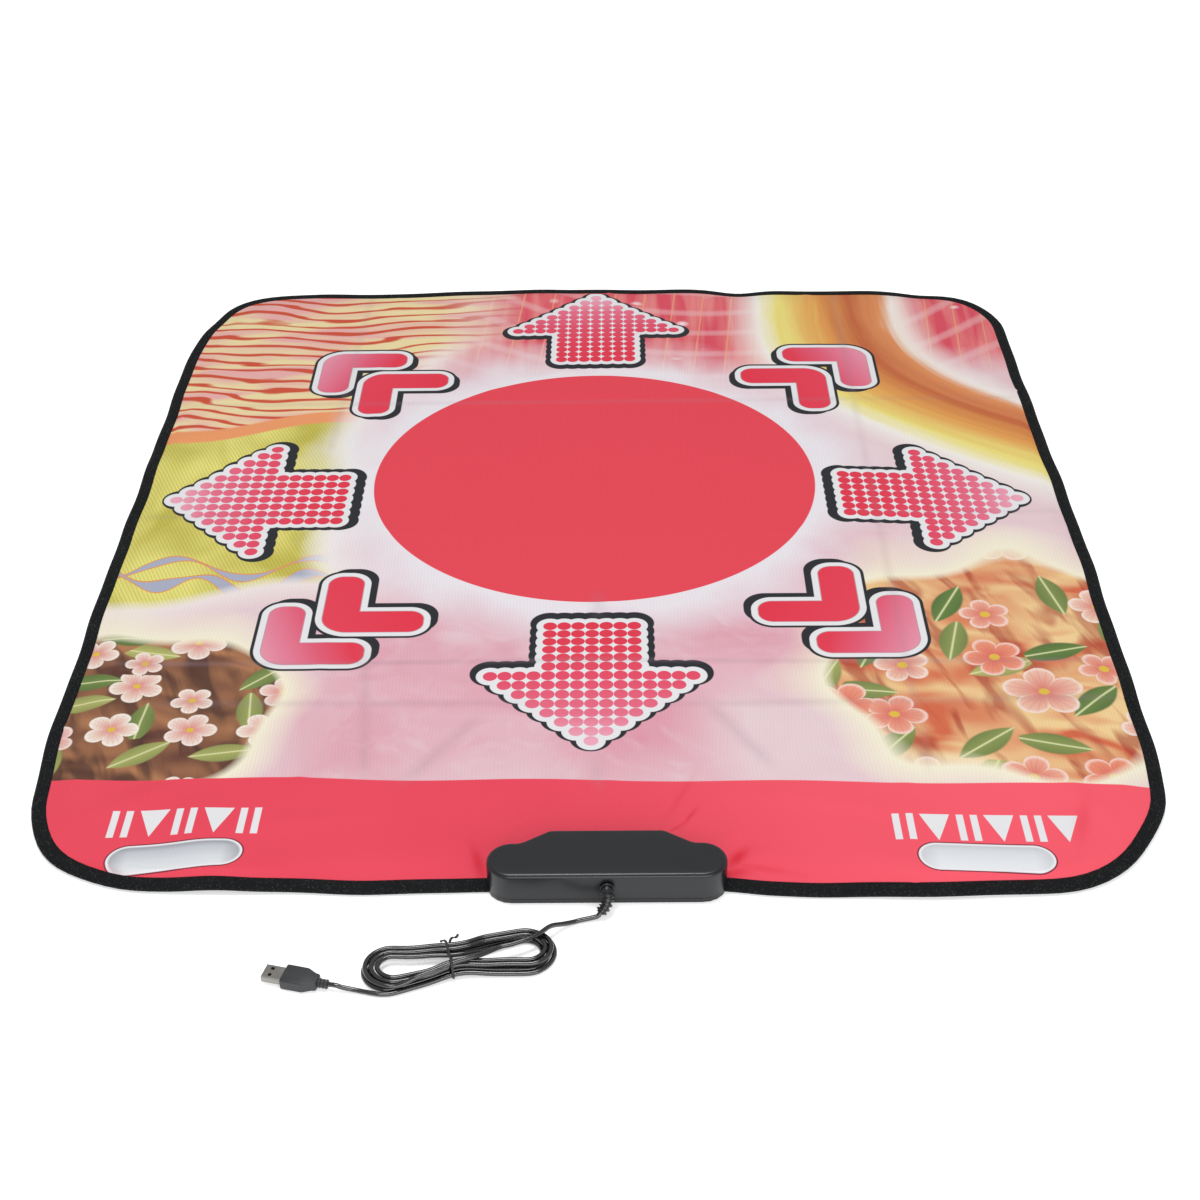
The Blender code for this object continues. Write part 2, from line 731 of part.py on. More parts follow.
def make_circuit():
    """The lower film's print: a patch under each zone, joined by tracks to the mat's front."""
    contacts = contact_outlines()
    half = TRACK_WIDTH / 2
    names = list(contacts)
    centres = {name: np.mean(contacts[name], axis=0) for name in names}
    spine = block(
        "lower_circuit",
        (BOX_X - half, notch_y + SPINE_START, circuit_bottom),
        (BOX_X + half, centres["back_arrow"][1], circuit_top),
        "silver_print",
    )
    joined = []
    for name in names:
        x, y = centres[name]
        outline = contacts[name]
        rings = [(outline, circuit_top), (outline, circuit_bottom)]
        joined.append(stacked(name + "_print", rings, "silver_print"))
        if "arrow" in name and abs(x - BOX_X) < ARROW_CONTACT_RADIUS:
            continue
        track_y = max(y, notch_y + TRACK_START)
        low_x, high_x = min(x, BOX_X), max(x, BOX_X)
        track = block(
            name + "_track",
            (low_x, track_y - half, circuit_bottom),
            (high_x, track_y + half, circuit_top),
        )
        joined.append(track)
        if track_y > y:
            riser = block(
                name + "_riser",
                (x - half, y, circuit_bottom),
                (x + half, track_y + half, circuit_top),
            )
            joined.append(riser)
    boolean(spine, "UNION", *joined)


def make_zones():
    """Each zone's piece of the cover and the patch under it, both set on the zone's axis."""
    outlines = zone_outlines()
    contacts = contact_outlines()
    for name, outline in outlines.items():
        x, y = np.mean(contacts[name], axis=0)
        slot = "grey_zone" if "oval" in name else "red_zone"
        top = placed(outline, (-x, -y))
        zone = stacked("zone_" + name, [(top, COVER_THICKNESS), (top, 0.0)], slot)
        zone.location = (x, y, cover_bottom)
        patch = placed(contacts[name], (-x, -y))
        contact = stacked("contact_" + name, [(patch, FILM_THICKNESS), (patch, 0.0)], "carbon_print")
        contact.location = (x, y, upper_film_bottom)


# The control box


def screw(name, x, y, z, upwards, length):
    """A pan-head screw with a cross recess; its head's face is at z, its shank goes the other way."""
    way = 1.0 if upwards else -1.0
    arm, slot = CROSS_ARM * SCREW_HEAD_RADIUS, CROSS_SLOT * SCREW_HEAD_RADIUS
    cross = [
        (arm, -slot), (arm, slot), (slot, slot), (slot, arm), (-slot, arm), (-slot, slot),
        (-arm, slot), (-arm, -slot), (-slot, -slot), (-slot, -arm), (slot, -arm), (slot, -slot),
    ]
    cross = placed(cross, (x, y))
    sizes = (
        SCREW_HEAD_FACE * SCREW_HEAD_RADIUS,
        SCREW_HEAD_RADIUS,
        SCREW_RADIUS,
        SCREW_POINT * SCREW_RADIUS,
    )
    face, head, shank, point = [
        placed(circle((0, 0), size, len(cross)), (x, y), -180 / len(cross)) for size in sizes
    ]
    under = z + way * SCREW_HEAD_HEIGHT
    rings = [
        (cross, z + way * CROSS_DEPTH * SCREW_HEAD_HEIGHT),
        (cross, z),
        (face, z),
        (head, z + way * SCREW_HEAD_ROUND * SCREW_HEAD_HEIGHT),
        (head, under),
        (shank, under),
        (shank, under + way * (length - SCREW_RADIUS)),
        (point, under + way * length),
    ]
    return stacked(name, rings, "metal")


def make_box():
    seam_top = SEAM_HEIGHT + CLEARANCE
    ceiling = BOX_HEIGHT - BOX_WALL
    shell_rings = [
        (box_outline(BOX_EDGE_ROUND), BOX_HEIGHT),
        (box_outline(0.35 * BOX_EDGE_ROUND), BOX_HEIGHT - 0.35 * BOX_EDGE_ROUND),
        (box_outline(0.0), BOX_HEIGHT - BOX_EDGE_ROUND),
        (box_outline(0.0), seam_top),
        (box_outline(BOX_WALL), seam_top),
        (box_outline(BOX_WALL), ceiling),
    ]
    shell = stacked("upper_shell", shell_rings, "box")
    mat_room = block(
        "mat_room_cutter",
        (BOX_X - BOX_WIDTH, front_edge - CLEARANCE, -CUT_PAST),
        (BOX_X + BOX_WIDTH, front_edge + 2 * BOX_BUMP_REACH, cover_top + CLEARANCE),
    )
    boolean(shell, "DIFFERENCE", mat_room)

    boss_foot = BOX_FLOOR + CLEARANCE
    pilot = SCREW_RADIUS + PILOT_CLEARANCE
    pilot_end = SCREW_RECESS + SCREW_LENGTH + PILOT_ROOM
    screw_places = [
        (BOX_X + side * BOSS_X, front_edge + row)
        for side in (-1, 1)
        for row in (BOSS_FRONT_Y, BOSS_BACK_Y)
    ]
    counterbores = []
    for index, place in enumerate(screw_places):
        boss_rings = [
            (circle(place, BOSS_RADIUS), ceiling + BOX_WALL / 2),
            (circle(place, BOSS_RADIUS), boss_foot),
            (circle(place, pilot), boss_foot),
            (circle(place, pilot), pilot_end),
        ]
        boss = stacked(f"boss_{index + 1}", boss_rings, "box")
        boolean(shell, "UNION", boss)
        head_room = SCREW_HEAD_RADIUS + CLEARANCE
        bore_rings = [
            (circle(place, pilot), BOX_FLOOR + PILOT_ROOM),
            (circle(place, pilot), SCREW_RECESS),
            (circle(place, head_room), SCREW_RECESS),
            (circle(place, head_room), -PILOT_ROOM),
        ]
        counterbores.append(stacked(f"counterbore_{index + 1}", bore_rings, "box"))
        head_face = SCREW_RECESS - CLEARANCE - SCREW_HEAD_HEIGHT
        screw(f"shell_screw_{index + 1}", *place, head_face, True, SCREW_LENGTH)
    face_y = front_edge - BOX_OVERHANG
    relief_bore = round_bar(
        "relief_bore_cutter", face_y - CUT_PAST, face_y + 2 * BOX_WALL,
        RELIEF_NECK_RADIUS + CLEARANCE,
    )
    boolean(shell, "DIFFERENCE", relief_bore)
    make_lower_shell(counterbores)


def round_bar(name, low_y, high_y, radius):
    """A bar along Y at the cord's exit."""
    across, upward = np.array((1.0, 0, 0)), np.array((0, 0, 1.0))
    section = circle((0, 0), radius)
    frames = [
        (np.array((BOX_X, y, CORD_EXIT_HEIGHT)), across, upward) for y in (low_y, high_y)
    ]
    return swept(name, frames, lambda index: section, "box")


def make_lower_shell(counterbores):
    """A tray: its lip closes the box ahead of the mat, and its tongue fills the mat's notch."""
    tray_rings = [
        (box_outline(BOX_WALL), BOX_FLOOR),
        (box_outline(BOX_WALL), SEAM_HEIGHT),
        (box_outline(0.0), SEAM_HEIGHT),
        (box_outline(0.0), BOX_FOOT_CHAMFER),
        (box_outline(BOX_FOOT_CHAMFER), 0.0),
    ]
    tray = stacked("lower_shell", tray_rings, "box")
    near, far = front_edge - CLEARANCE, front_edge + 2 * BOX_BUMP_REACH
    tongue, side = NOTCH_WIDTH / 2 - CLEARANCE, BOX_WIDTH
    mat_shape = [
        (-side, near), (-tongue, near), (-tongue, notch_y - CLEARANCE),
        (tongue, notch_y - CLEARANCE), (tongue, near), (side, near), (side, far), (-side, far),
    ]
    mat_shape = [(BOX_X + x, y) for x, y in mat_shape]
    mat_side_rings = [(mat_shape, cover_top + CUT_PAST), (mat_shape, -CUT_PAST)]
    mat_side = stacked("mat_side_cutter", mat_side_rings, "box")
    boolean(tray, "DIFFERENCE", mat_side)
    for index, side in enumerate((-1, 1)):
        place = (BOX_X + side * POST_X, front_edge + POST_Y)
        pilot = SCREW_RADIUS + PILOT_CLEARANCE
        post_rings = [
            (circle(place, POST_RADIUS), BOX_FLOOR / 2),
            (circle(place, POST_RADIUS), BOARD_HEIGHT - CLEARANCE),
            (circle(place, pilot), BOARD_HEIGHT - CLEARANCE),
            (circle(place, pilot), BOX_FLOOR + CLEARANCE),
        ]
        boolean(tray, "UNION", stacked(f"post_{index + 1}", post_rings, "box"))
    boolean(tray, "DIFFERENCE", *counterbores)


def make_board():
    top = BOARD_HEIGHT + BOARD_THICKNESS
    middle = (BOX_X, front_edge + BOARD_BACK_Y - BOARD_DEPTH / 2)
    corners = rectangle(BOARD_WIDTH, BOARD_DEPTH, BOARD_CORNER_RADIUS)
    outline = placed(rounded(corners, 2), middle)
    places = [(BOX_X + side * POST_X, front_edge + POST_Y) for side in (-1, 1)]
    holes = [circle(place, SCREW_RADIUS + PILOT_CLEARANCE, 12) for place in places]
    stacked("circuit_board", [(outline, top), (outline, BOARD_HEIGHT)], "board", holes)
    head_face = top + CLEARANCE + SCREW_HEAD_HEIGHT
    for index, place in enumerate(places):
        screw(f"board_screw_{index + 1}", *place, head_face, False, BOARD_SCREW_LENGTH)
    part_bottom = top + CLEARANCE
    parts_y = front_edge + PARTS_Y

    width, depth, height = CHIP_SIZE
    place = (BOX_X + CHIP_X, parts_y)
    corners = rectangle(width, depth, CHIP_CORNER_RADIUS)
    waist = placed(rounded(corners, 2), place)
    face = placed(rounded(offset_corners(corners, -CHIP_TAPER), 2), place)
    chip_rings = [
        (face, part_bottom + height), (waist, part_bottom + height / 2), (face, part_bottom)
    ]
    stacked("controller_chip", chip_rings, "chip")

    width, depth, height = CRYSTAL_SIZE
    place = (BOX_X + CRYSTAL_X, parts_y)
    corners = rectangle(width, depth, 0.49 * depth)
    can = placed(rounded(corners, 5), place)
    lid = placed(rounded(offset_corners(corners, -CAN_ROUND), 5), place)
    can_rings = [
        (lid, part_bottom + height),
        (can, part_bottom + height - CAN_ROUND),
        (can, part_bottom),
    ]
    smooth(stacked("crystal", can_rings, "metal"))

    place = (BOX_X + CAPACITOR_X, parts_y)
    can = circle(place, CAPACITOR_RADIUS)
    lid = circle(place, CAPACITOR_RADIUS - CAN_ROUND)
    can_rings = [
        (lid, part_bottom + CAPACITOR_HEIGHT),
        (can, part_bottom + CAPACITOR_HEIGHT - CAN_ROUND),
        (can, part_bottom),
    ]
    smooth(stacked("capacitor", can_rings, "chip"))
    make_tail()


def make_tail():
    """The printed tail runs from between the films up to the board's underside, over its pad."""
    pad_back = PAD_Y + PAD_DEPTH
    under_board = BOARD_HEIGHT - CLEARANCE - TAIL_THICKNESS
    root_z = (foam_bottom + foam_top) / 2
    profile = [
        (NOTCH_DEPTH + TAIL_ROOT, root_z),
        (NOTCH_DEPTH - TAIL_BEND / 2, root_z),
        (NOTCH_DEPTH - 3 * TAIL_BEND / 2, root_z + TAIL_EASE),
        (pad_back + 3 * TAIL_BEND / 2, under_board - TAIL_EASE),
        (pad_back + TAIL_BEND / 2, under_board),
        (PAD_Y, under_board),
    ]
    half = TAIL_WIDTH / 2
    frames = []
    across, upward = np.array((1.0, 0, 0)), np.array((0, 0, 1.0))
    for y, z in profile:
        frames.append((np.array((BOX_X, front_edge + y, z)), across, upward))
    section = [(-half, 0.0), (half, 0.0), (half, TAIL_THICKNESS), (-half, TAIL_THICKNESS)]
    swept("ribbon_tail", frames, lambda index: section, "carbon_print")
    block(
        "tail_pressure_pad",
        (BOX_X - half, front_edge + PAD_Y, BOX_FLOOR + CLEARANCE),
        (BOX_X + half, front_edge + pad_back, under_board - CLEARANCE),
        "rubber",
    )


# The cord


def make_relief():
    """A grommet in the box's front wall, then a ribbed sleeve that bends down to the floor."""
    face = np.array((BOX_X, front_edge - BOX_OVERHANG, CORD_EXIT_HEIGHT))
    outside = CLEARANCE + RELIEF_SHOULDER
    inner_end = BOX_WALL + CLEARANCE + RELIEF_FLANGE_THICKNESS
    straight = [
        (inner_end, RELIEF_FLANGE_RADIUS),
        (BOX_WALL + CLEARANCE, RELIEF_FLANGE_RADIUS),
        (BOX_WALL + CLEARANCE, RELIEF_NECK_RADIUS),
        (-CLEARANCE, RELIEF_NECK_RADIUS),
    ]
    points = [face + np.array((0, y, 0)) for y, radius in straight]
    radii = [radius for y, radius in straight]
    bend = catmull([face + np.array(p) - (0, outside, 0) for p in RELIEF_BEND], 0.0001)
    along = lengths_along(bend)
    pitch = along[-1] / RELIEF_RINGS
    for ring in range(RELIEF_RINGS):
        taper = ring / (RELIEF_RINGS - 1)
        radius = RELIEF_ROOT_RADIUS + (RELIEF_END_RADIUS - RELIEF_ROOT_RADIUS) * taper
        low = radius - RELIEF_GROOVE
        start = ring * pitch
        stops = ((0.0, radius), (0.58, radius), (0.62, low), (0.96, low))
        if ring == RELIEF_RINGS - 1:
            stops = ((0.0, radius), (1.0, radius))
        for share, size in stops:
            place = start + share * pitch
            points.append(np.array([np.interp(place, along, bend[:, a]) for a in range(3)]))
            radii.append(size)
    centre = np.array(points)
    ways = np.gradient(bend, axis=0)
    frames = []
    for index, point in enumerate(centre):
        nearest = np.argmin(np.linalg.norm(bend - point, axis=1))
        way = ways[nearest] / np.linalg.norm(ways[nearest])
        if index < len(straight):
            way = np.array((0, -1.0, 0))
        across = np.cross(way, (0, 0, 1.0))
        across /= np.linalg.norm(across)
        frames.append((point, across, np.cross(across, way)))
    rounds = [circle((0, 0), radius, RELIEF_SIDES) for radius in radii]
    smooth(swept("strain_relief", frames, lambda index: rounds[index], "cord"))
    end_way = ways[-1] / np.linalg.norm(ways[-1])
    return bend[-1] + end_way * CLEARANCE, end_way, face + np.array((0, inner_end, 0))


def make_wires(inner_face):
    """The cord's four wires fan out from the relief's inner end down to the board."""
    top = BOARD_HEIGHT + BOARD_THICKNESS + CLEARANCE
    slots = ("red_wire", "white_wire", "green_wire", "black_wire")
    names = ("wire_power", "wire_data_minus", "wire_data_plus", "wire_ground")
    for index, (name, slot) in enumerate(zip(names, slots)):
        side = (index - 1.5) * WIRE_PITCH
        start = inner_face + np.array(
            (
                math.copysign(WIRE_SPREAD / 2, side),
                CLEARANCE,
                (0.5 if index in (1, 2) else -0.5) * WIRE_SPREAD,
            )
        )
        landing = np.array((BOX_X + side, start[1] + 0.0045, top))
        route = [
            start,
            start + (0.2 * side, 0.0016, -0.0001),
            (landing[0] - 0.1 * side, landing[1] - 0.0006, start[2] - 0.0012),
            landing + (0, 0, 0.0012),
            landing,
        ]
        tube(name, catmull(route, 0.0009), WIRE_DIAMETER, slot, 1)


def hank_to_world(along, across):
    turn = math.radians(HANK_HEADING)
    return (
        HANK_CENTRE[0] + along * math.cos(turn) - across * math.sin(turn),
        HANK_CENTRE[1] + along * math.sin(turn) + across * math.cos(turn),
    )


def hank_route():
    """The hank's loops: in and out again in two layers, then over the right-hand end and down."""
    floor_z = CORD_DIAMETER / 2 + FLOOR_GAP
    lift = TIE_DIAMETER + 2 * CLEARANCE - FLOOR_GAP
    per_turn = 2 * (RUN_STEPS + END_STEPS)
    reverse = 2 + (RUN_STEPS + END_STEPS + RUN_STEPS / 2) / per_turn
    half = HANK_HALF_RUN

    def place(step):
        turn = step / per_turn
        lane = HANK_INNER_RADIUS + HANK_STEP * abs(reverse - turn)
        spot = step % per_turn
        climb = np.clip((turn - reverse) * per_turn / RUN_STEPS + 0.5, 0, 1)
        z = floor_z + HANK_LAYER * climb**2 * (3 - 2 * climb)
        if spot < RUN_STEPS:
            x = half * (2 * spot / RUN_STEPS - 1)
            drawn = math.cos(math.pi * x / (2 * half)) ** 2
            return (x, -lane + HANK_WAIST_DRAW * drawn, z + lift * drawn**2)
        spot -= RUN_STEPS
        if spot < END_STEPS:
            angle = math.pi * (spot / END_STEPS - 0.5)
            return (half + lane * math.cos(angle), lane * math.sin(angle), z)
        spot -= END_STEPS
        if spot < RUN_STEPS:
            x = half * (1 - 2 * spot / RUN_STEPS)
            drawn = math.cos(math.pi * x / (2 * half)) ** 2
            return (x, lane - HANK_WAIST_DRAW * drawn, z + lift * drawn**2)
        spot -= RUN_STEPS
        angle = math.pi * (spot / END_STEPS + 0.5)
        return (-half + lane * math.cos(angle), lane * math.sin(angle), z)

    first = np.array(place(0))
    entry = [first + (-0.0098, 0.0014, 0), first + (-0.0050, 0.0003, 0)]
    loops = [place(step) for step in range(HANK_TURNS * per_turn + 1)]
    top = floor_z + 2 * HANK_LAYER
    last = np.array(loops[-1])
    rise = [
        last + (0.0100, 0.0018, 0.6 * HANK_LAYER),
        last + (0.0200, 0.0050, HANK_LAYER + 0.3 * lift),
    ]
    crossing = [
        (-0.0120, -0.0118, top + 0.6 * lift),
        (0.0, -0.0090, top + lift),
        (0.0150, -0.0054, top + 0.5 * lift),
        (0.0280, -0.0012, top),
        (0.0390, 0.0027, top),
        (0.0490, 0.0062, top),
        (0.0560, 0.0096, top),
        (0.0600, 0.0121, top - 0.0001),
        (0.0650, 0.0153, 0.0076),
        (0.0700, 0.0181, 0.0048),
        (0.0750, 0.0204, 0.0027),
        (0.0800, 0.0219, floor_z),
        (0.0840, 0.0226, floor_z),
    ]
    route = np.array(entry + loops + rise + crossing)
    flat = np.array([hank_to_world(x, y) for x, y in route[:, :2]])
    return np.column_stack((flat, route[:, 2]))


def least_gap(points, diameter, skip):
    """The least gap of a tube to itself, between stretches more than skip apart along it."""
    fine = resampled(points, diameter / 4)
    along = lengths_along(fine)
    least = 1.0
    for index, point in enumerate(fine):
        far = np.abs(along - along[index]) > skip
        least = min(least, np.linalg.norm(fine[far] - point, axis=1).min())
    return least - diameter


def make_cord(exit_point, exit_way, plug_end, plug_way):
    hank = hank_route()
    gap = least_gap(hank, CORD_DIAMETER, 3 * CORD_DIAMETER)
    print(f"hank's least gap to itself {gap * 1000:.2f} mm")
    tube("cord_hank", hank, CORD_DIAMETER, "cord", 1)

    floor_z = CORD_DIAMETER / 2 + FLOOR_GAP
    hank_way = (hank[-1] - hank[-2]) / np.linalg.norm(hank[-1] - hank[-2])
    lead = [
        exit_point,
        exit_point + exit_way * 0.0022,
        (-0.0018, front_edge - 0.0266, 0.0022),
        hank[-1] + hank_way * CORD_DIAMETER,
        hank[-1] + hank_way * CLEARANCE,
    ]
    lead = catmull(lead, CORD_SPACING / 2)
    tube("cord_lead", lead, CORD_DIAMETER, "cord", 2)

    hank_back = (hank[0] - hank[1]) / np.linalg.norm(hank[0] - hank[1])
    tail = [
        hank[0] + hank_back * CLEARANCE,
        hank[0] + hank_back * 0.0045,
        (-0.1530, front_edge - 0.0915, floor_z + 0.0002),
        plug_end + plug_way * 0.0040,
        plug_end,
    ]
    tail = catmull(tail, CORD_SPACING)
    tube("cord_tail", tail, CORD_DIAMETER, "cord", 2)
    whole = sum(lengths_along(run)[-1] for run in (lead, hank, tail))
    print(f"cord length {whole:.3f} m")
    make_tie(hank)


def make_tie(hank):
    """One coated wire round the waist, just outside the cord, with its two ends side by side."""
    turn = math.radians(HANK_HEADING)
    way = np.array((math.cos(turn), math.sin(turn)))
    side = np.array((-math.sin(turn), math.cos(turn)))
    local = hank[:, :2] - np.array(HANK_CENTRE)
    along, across = local @ way, local @ side
    spots = []
    for index in range(len(hank) - 1):
        if along[index] * along[index + 1] <= 0:
            share = along[index] / (along[index] - along[index + 1])
            spots.append(
                (
                    across[index] + share * (across[index + 1] - across[index]),
                    hank[index, 2] + share * (hank[index + 1, 2] - hank[index, 2]),
                )
            )
    reach = CORD_DIAMETER / 2 + CLEARANCE + TIE_DIAMETER / 2
    ring = np.array(circle((0, 0), 1.0, 16)) * reach / math.cos(math.pi / 16)
    cloud = np.vstack([np.array(spot) + ring for spot in spots])
    outline = hull(cloud)
    outline[:, 1] = np.maximum(outline[:, 1], TIE_DIAMETER / 2 + CLEARANCE / 2)
    start = np.argmax(outline[:, 0] + outline[:, 1])
    outline = np.roll(outline, -start, axis=0)
    loop = np.vstack((outline, outline[:1]))
    share = np.linspace(-1, 1, len(loop))
    body = [
        np.array((*(np.array(HANK_CENTRE) + way * TIE_HALF_SPREAD * s + side * t), z))
        for s, (t, z) in zip(share, loop)
    ]
    outwards = np.array((*side, 0.0))
    spread = np.array((*way, 0.0))
    first, last = body[0], body[-1]
    start_end = [
        first + outwards * 0.0058 + np.array((0, 0, 0.0030)) - spread * 0.0022,
        first + outwards * 0.0026 + np.array((0, 0, 0.0019)) - spread * 0.0006,
    ]
    last_end = [
        last + outwards * 0.0026 + np.array((0, 0, 0.0019)) + spread * 0.0006,
        last + outwards * 0.0050 + np.array((0, 0, 0.0048)) + spread * 0.0024,
    ]
    tube("twist_tie", start_end + body + last_end, TIE_DIAMETER, "rubber", 1)


def hull(points):
    """The convex hull of points in a plane, anticlockwise."""
    ordered = points[np.lexsort((points[:, 1], points[:, 0]))]
    chains = []
    for run in (ordered, ordered[::-1]):
        chain = []
        for point in run:
            while len(chain) > 1:
                one, two = chain[-1] - chain[-2], point - chain[-1]
                if one[0] * two[1] - one[1] * two[0] > 0:
                    break
                chain.pop()
            chain.append(point)
        chains += chain[:-1]
    return np.array(chains)


# The plug: its own x runs from the cord to the shell's mouth


def plug_rings(stations):
    """Sections across the plug at stations (x, width, height, corner radius)."""
    turn = math.radians(PLUG_HEADING)
    way = np.array((math.cos(turn), math.sin(turn), 0.0))
    across = np.array((-math.sin(turn), math.cos(turn), 0.0))
    origin = np.array((*PLUG_PLACE, PLUG_BODY_HEIGHT / 2 + FLOOR_GAP))
    frames = [(origin + way * x, across, np.array((0, 0, 1.0))) for x, *size in stations]
    sections = [rounded(rectangle(w, h, r), PLUG_SECTION_STEPS) for x, w, h, r in stations]
    return frames, lambda index: sections[index]


def make_plug():
    body_start = PLUG_RING_COUNT * PLUG_RING_PITCH
    body_end = body_start + PLUG_BODY_LENGTH
    edge, groove_start, groove_end = PLUG_RING_SHARES
    ring = 2 * PLUG_RING_RADIUS
    groove = ring - 2 * PLUG_RING_GROOVE
    stations = []
    for index in range(PLUG_RING_COUNT):
        x = index * PLUG_RING_PITCH
        stations += [
            (x, ring, ring, 0.48 * ring),
            (x + edge * PLUG_RING_PITCH, ring, ring, 0.48 * ring),
            (x + groove_start * PLUG_RING_PITCH, groove, groove, 0.48 * groove),
            (x + groove_end * PLUG_RING_PITCH, groove, groove, 0.48 * groove),
        ]
    width, height = PLUG_BODY_WIDTH, PLUG_BODY_HEIGHT
    chamfer = PLUG_FACE_CHAMFER
    stations += [(body_start + x, *size) for x, *size in PLUG_SECTIONS]
    stations += [
        (body_start + PLUG_BODY_START, width, height, PLUG_BODY_RADIUS),
        (body_end - chamfer, width, height, PLUG_BODY_RADIUS),
        (body_end, width - 2 * chamfer, height - 2 * chamfer, PLUG_BODY_RADIUS - chamfer),
    ]
    body = swept("plug_overmould", *plug_rings(stations), "rubber")
    smooth(body)
    seat_start = body_end - PLUG_SHELL_SEAT
    room = 2 * CLEARANCE
    pocket = [
        (x, PLUG_SHELL_WIDTH + room, PLUG_SHELL_HEIGHT + room, PLUG_SHELL_RADIUS + CLEARANCE)
        for x in (seat_start, body_end + CUT_PAST)
    ]
    boolean(body, "DIFFERENCE", swept("plug_pocket_cutter", *plug_rings(pocket), "rubber"))

    shell_start = seat_start + CLEARANCE
    shell_end = shell_start + PLUG_SHELL_LENGTH
    outer = [
        (x, PLUG_SHELL_WIDTH, PLUG_SHELL_HEIGHT, PLUG_SHELL_RADIUS)
        for x in (shell_start, shell_end)
    ]
    inner_width = PLUG_SHELL_WIDTH - 2 * PLUG_SHELL_WALL
    inner_height = PLUG_SHELL_HEIGHT - 2 * PLUG_SHELL_WALL
    inner = [
        (x, inner_width, inner_height, PLUG_SHELL_RADIUS - PLUG_SHELL_WALL)
        for x in (shell_start - CUT_PAST, shell_end + CUT_PAST)
    ]
    shell = swept("plug_shell", *plug_rings(outer), "metal")
    bore = swept("plug_bore_cutter", *plug_rings(inner), "metal")
    windows = []
    window_end = shell_end - PLUG_WINDOW_DISTANCE
    for index, side in enumerate((-0.5, 0.5)):
        middle = side * PLUG_WINDOW_PITCH
        window = plug_block(
            f"plug_window_{index + 1}",
            (window_end - PLUG_WINDOW_SIZE, window_end),
            (middle - PLUG_WINDOW_SIZE / 2, middle + PLUG_WINDOW_SIZE / 2),
            (-PLUG_SHELL_HEIGHT, PLUG_SHELL_HEIGHT),
            "metal",
        )
        windows.append(window)
    boolean(shell, "DIFFERENCE", bore, *windows)

    floor = -inner_height / 2 + CLEARANCE
    insert_top = floor + INSERT_THICKNESS
    half = inner_width / 2 - CLEARANCE
    insert_end = shell_end - INSERT_RECESS
    contact_end = insert_end - CONTACT_RECESS
    contact_bottom = insert_top + CONTACT_GAP
    plug_block(
        "plug_insert", (shell_start + CLEARANCE, insert_end), (-half, half),
        (floor, insert_top), "insert",
    )
    for index in range(4):
        y = (index - 1.5) * CONTACT_PITCH
        plug_block(
            f"plug_contact_{index + 1}",
            (contact_end - CONTACT_LENGTH, contact_end),
            (y - CONTACT_WIDTH / 2, y + CONTACT_WIDTH / 2),
            (contact_bottom, contact_bottom + CONTACT_THICKNESS),
            "gold",
        )
    turn = math.radians(PLUG_HEADING)
    way_back = np.array((-math.cos(turn), -math.sin(turn), 0.0))
    origin = np.array((*PLUG_PLACE, PLUG_BODY_HEIGHT / 2 + FLOOR_GAP))
    return origin + way_back * CLEARANCE, way_back


def plug_block(name, along, across, upward, slot):
    turn = math.radians(PLUG_HEADING)
    way = np.array((math.cos(turn), math.sin(turn), 0.0))
    sideways = np.array((-math.sin(turn), math.cos(turn), 0.0))
    origin = np.array((*PLUG_PLACE, PLUG_BODY_HEIGHT / 2 + FLOOR_GAP))
    up = np.array((0, 0, 1.0))
    frames = [(origin + way * x, sideways, up) for x in along]
    section = [
        (across[0], upward[0]), (across[1], upward[0]),
        (across[1], upward[1]), (across[0], upward[1]),
    ]
    return swept(name, frames, lambda index: section, slot)


clear_scene()
make_mat()
make_zones()
make_box()
make_board()
cord_exit, cord_way, inner_face = make_relief()
make_wires(inner_face)
plug_end, plug_way = make_plug()
make_cord(cord_exit, cord_way, plug_end, plug_way)
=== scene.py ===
# A dance mat: printed cloth with ten step zones, a bound edge, a control box and a tied cord,
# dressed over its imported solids. Metres; the print's own sums are in millimetres.
import json
import math

import bmesh
import bpy
import numpy as np
from mathutils import Matrix, Vector
from mathutils.geometry import convex_hull_2d, delaunay_2d_cdt

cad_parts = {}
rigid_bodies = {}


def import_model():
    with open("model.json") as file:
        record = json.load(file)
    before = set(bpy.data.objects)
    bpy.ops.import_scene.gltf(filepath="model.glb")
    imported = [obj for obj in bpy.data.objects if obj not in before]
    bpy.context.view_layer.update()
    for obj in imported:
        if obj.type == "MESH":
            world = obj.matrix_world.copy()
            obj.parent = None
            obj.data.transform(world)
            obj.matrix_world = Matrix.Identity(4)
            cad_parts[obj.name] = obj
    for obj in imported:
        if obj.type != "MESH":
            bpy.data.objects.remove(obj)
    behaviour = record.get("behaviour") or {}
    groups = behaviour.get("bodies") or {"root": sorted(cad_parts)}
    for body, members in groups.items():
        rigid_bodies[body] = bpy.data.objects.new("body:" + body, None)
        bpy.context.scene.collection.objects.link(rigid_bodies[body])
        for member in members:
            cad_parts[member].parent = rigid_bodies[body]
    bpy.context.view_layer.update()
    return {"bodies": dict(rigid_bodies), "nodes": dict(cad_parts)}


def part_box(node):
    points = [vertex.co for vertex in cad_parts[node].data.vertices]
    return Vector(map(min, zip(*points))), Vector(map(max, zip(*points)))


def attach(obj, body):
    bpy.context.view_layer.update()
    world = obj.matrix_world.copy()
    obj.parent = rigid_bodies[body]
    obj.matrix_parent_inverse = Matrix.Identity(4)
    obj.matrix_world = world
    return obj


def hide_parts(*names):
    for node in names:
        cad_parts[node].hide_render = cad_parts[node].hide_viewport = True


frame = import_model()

mm = 0.001

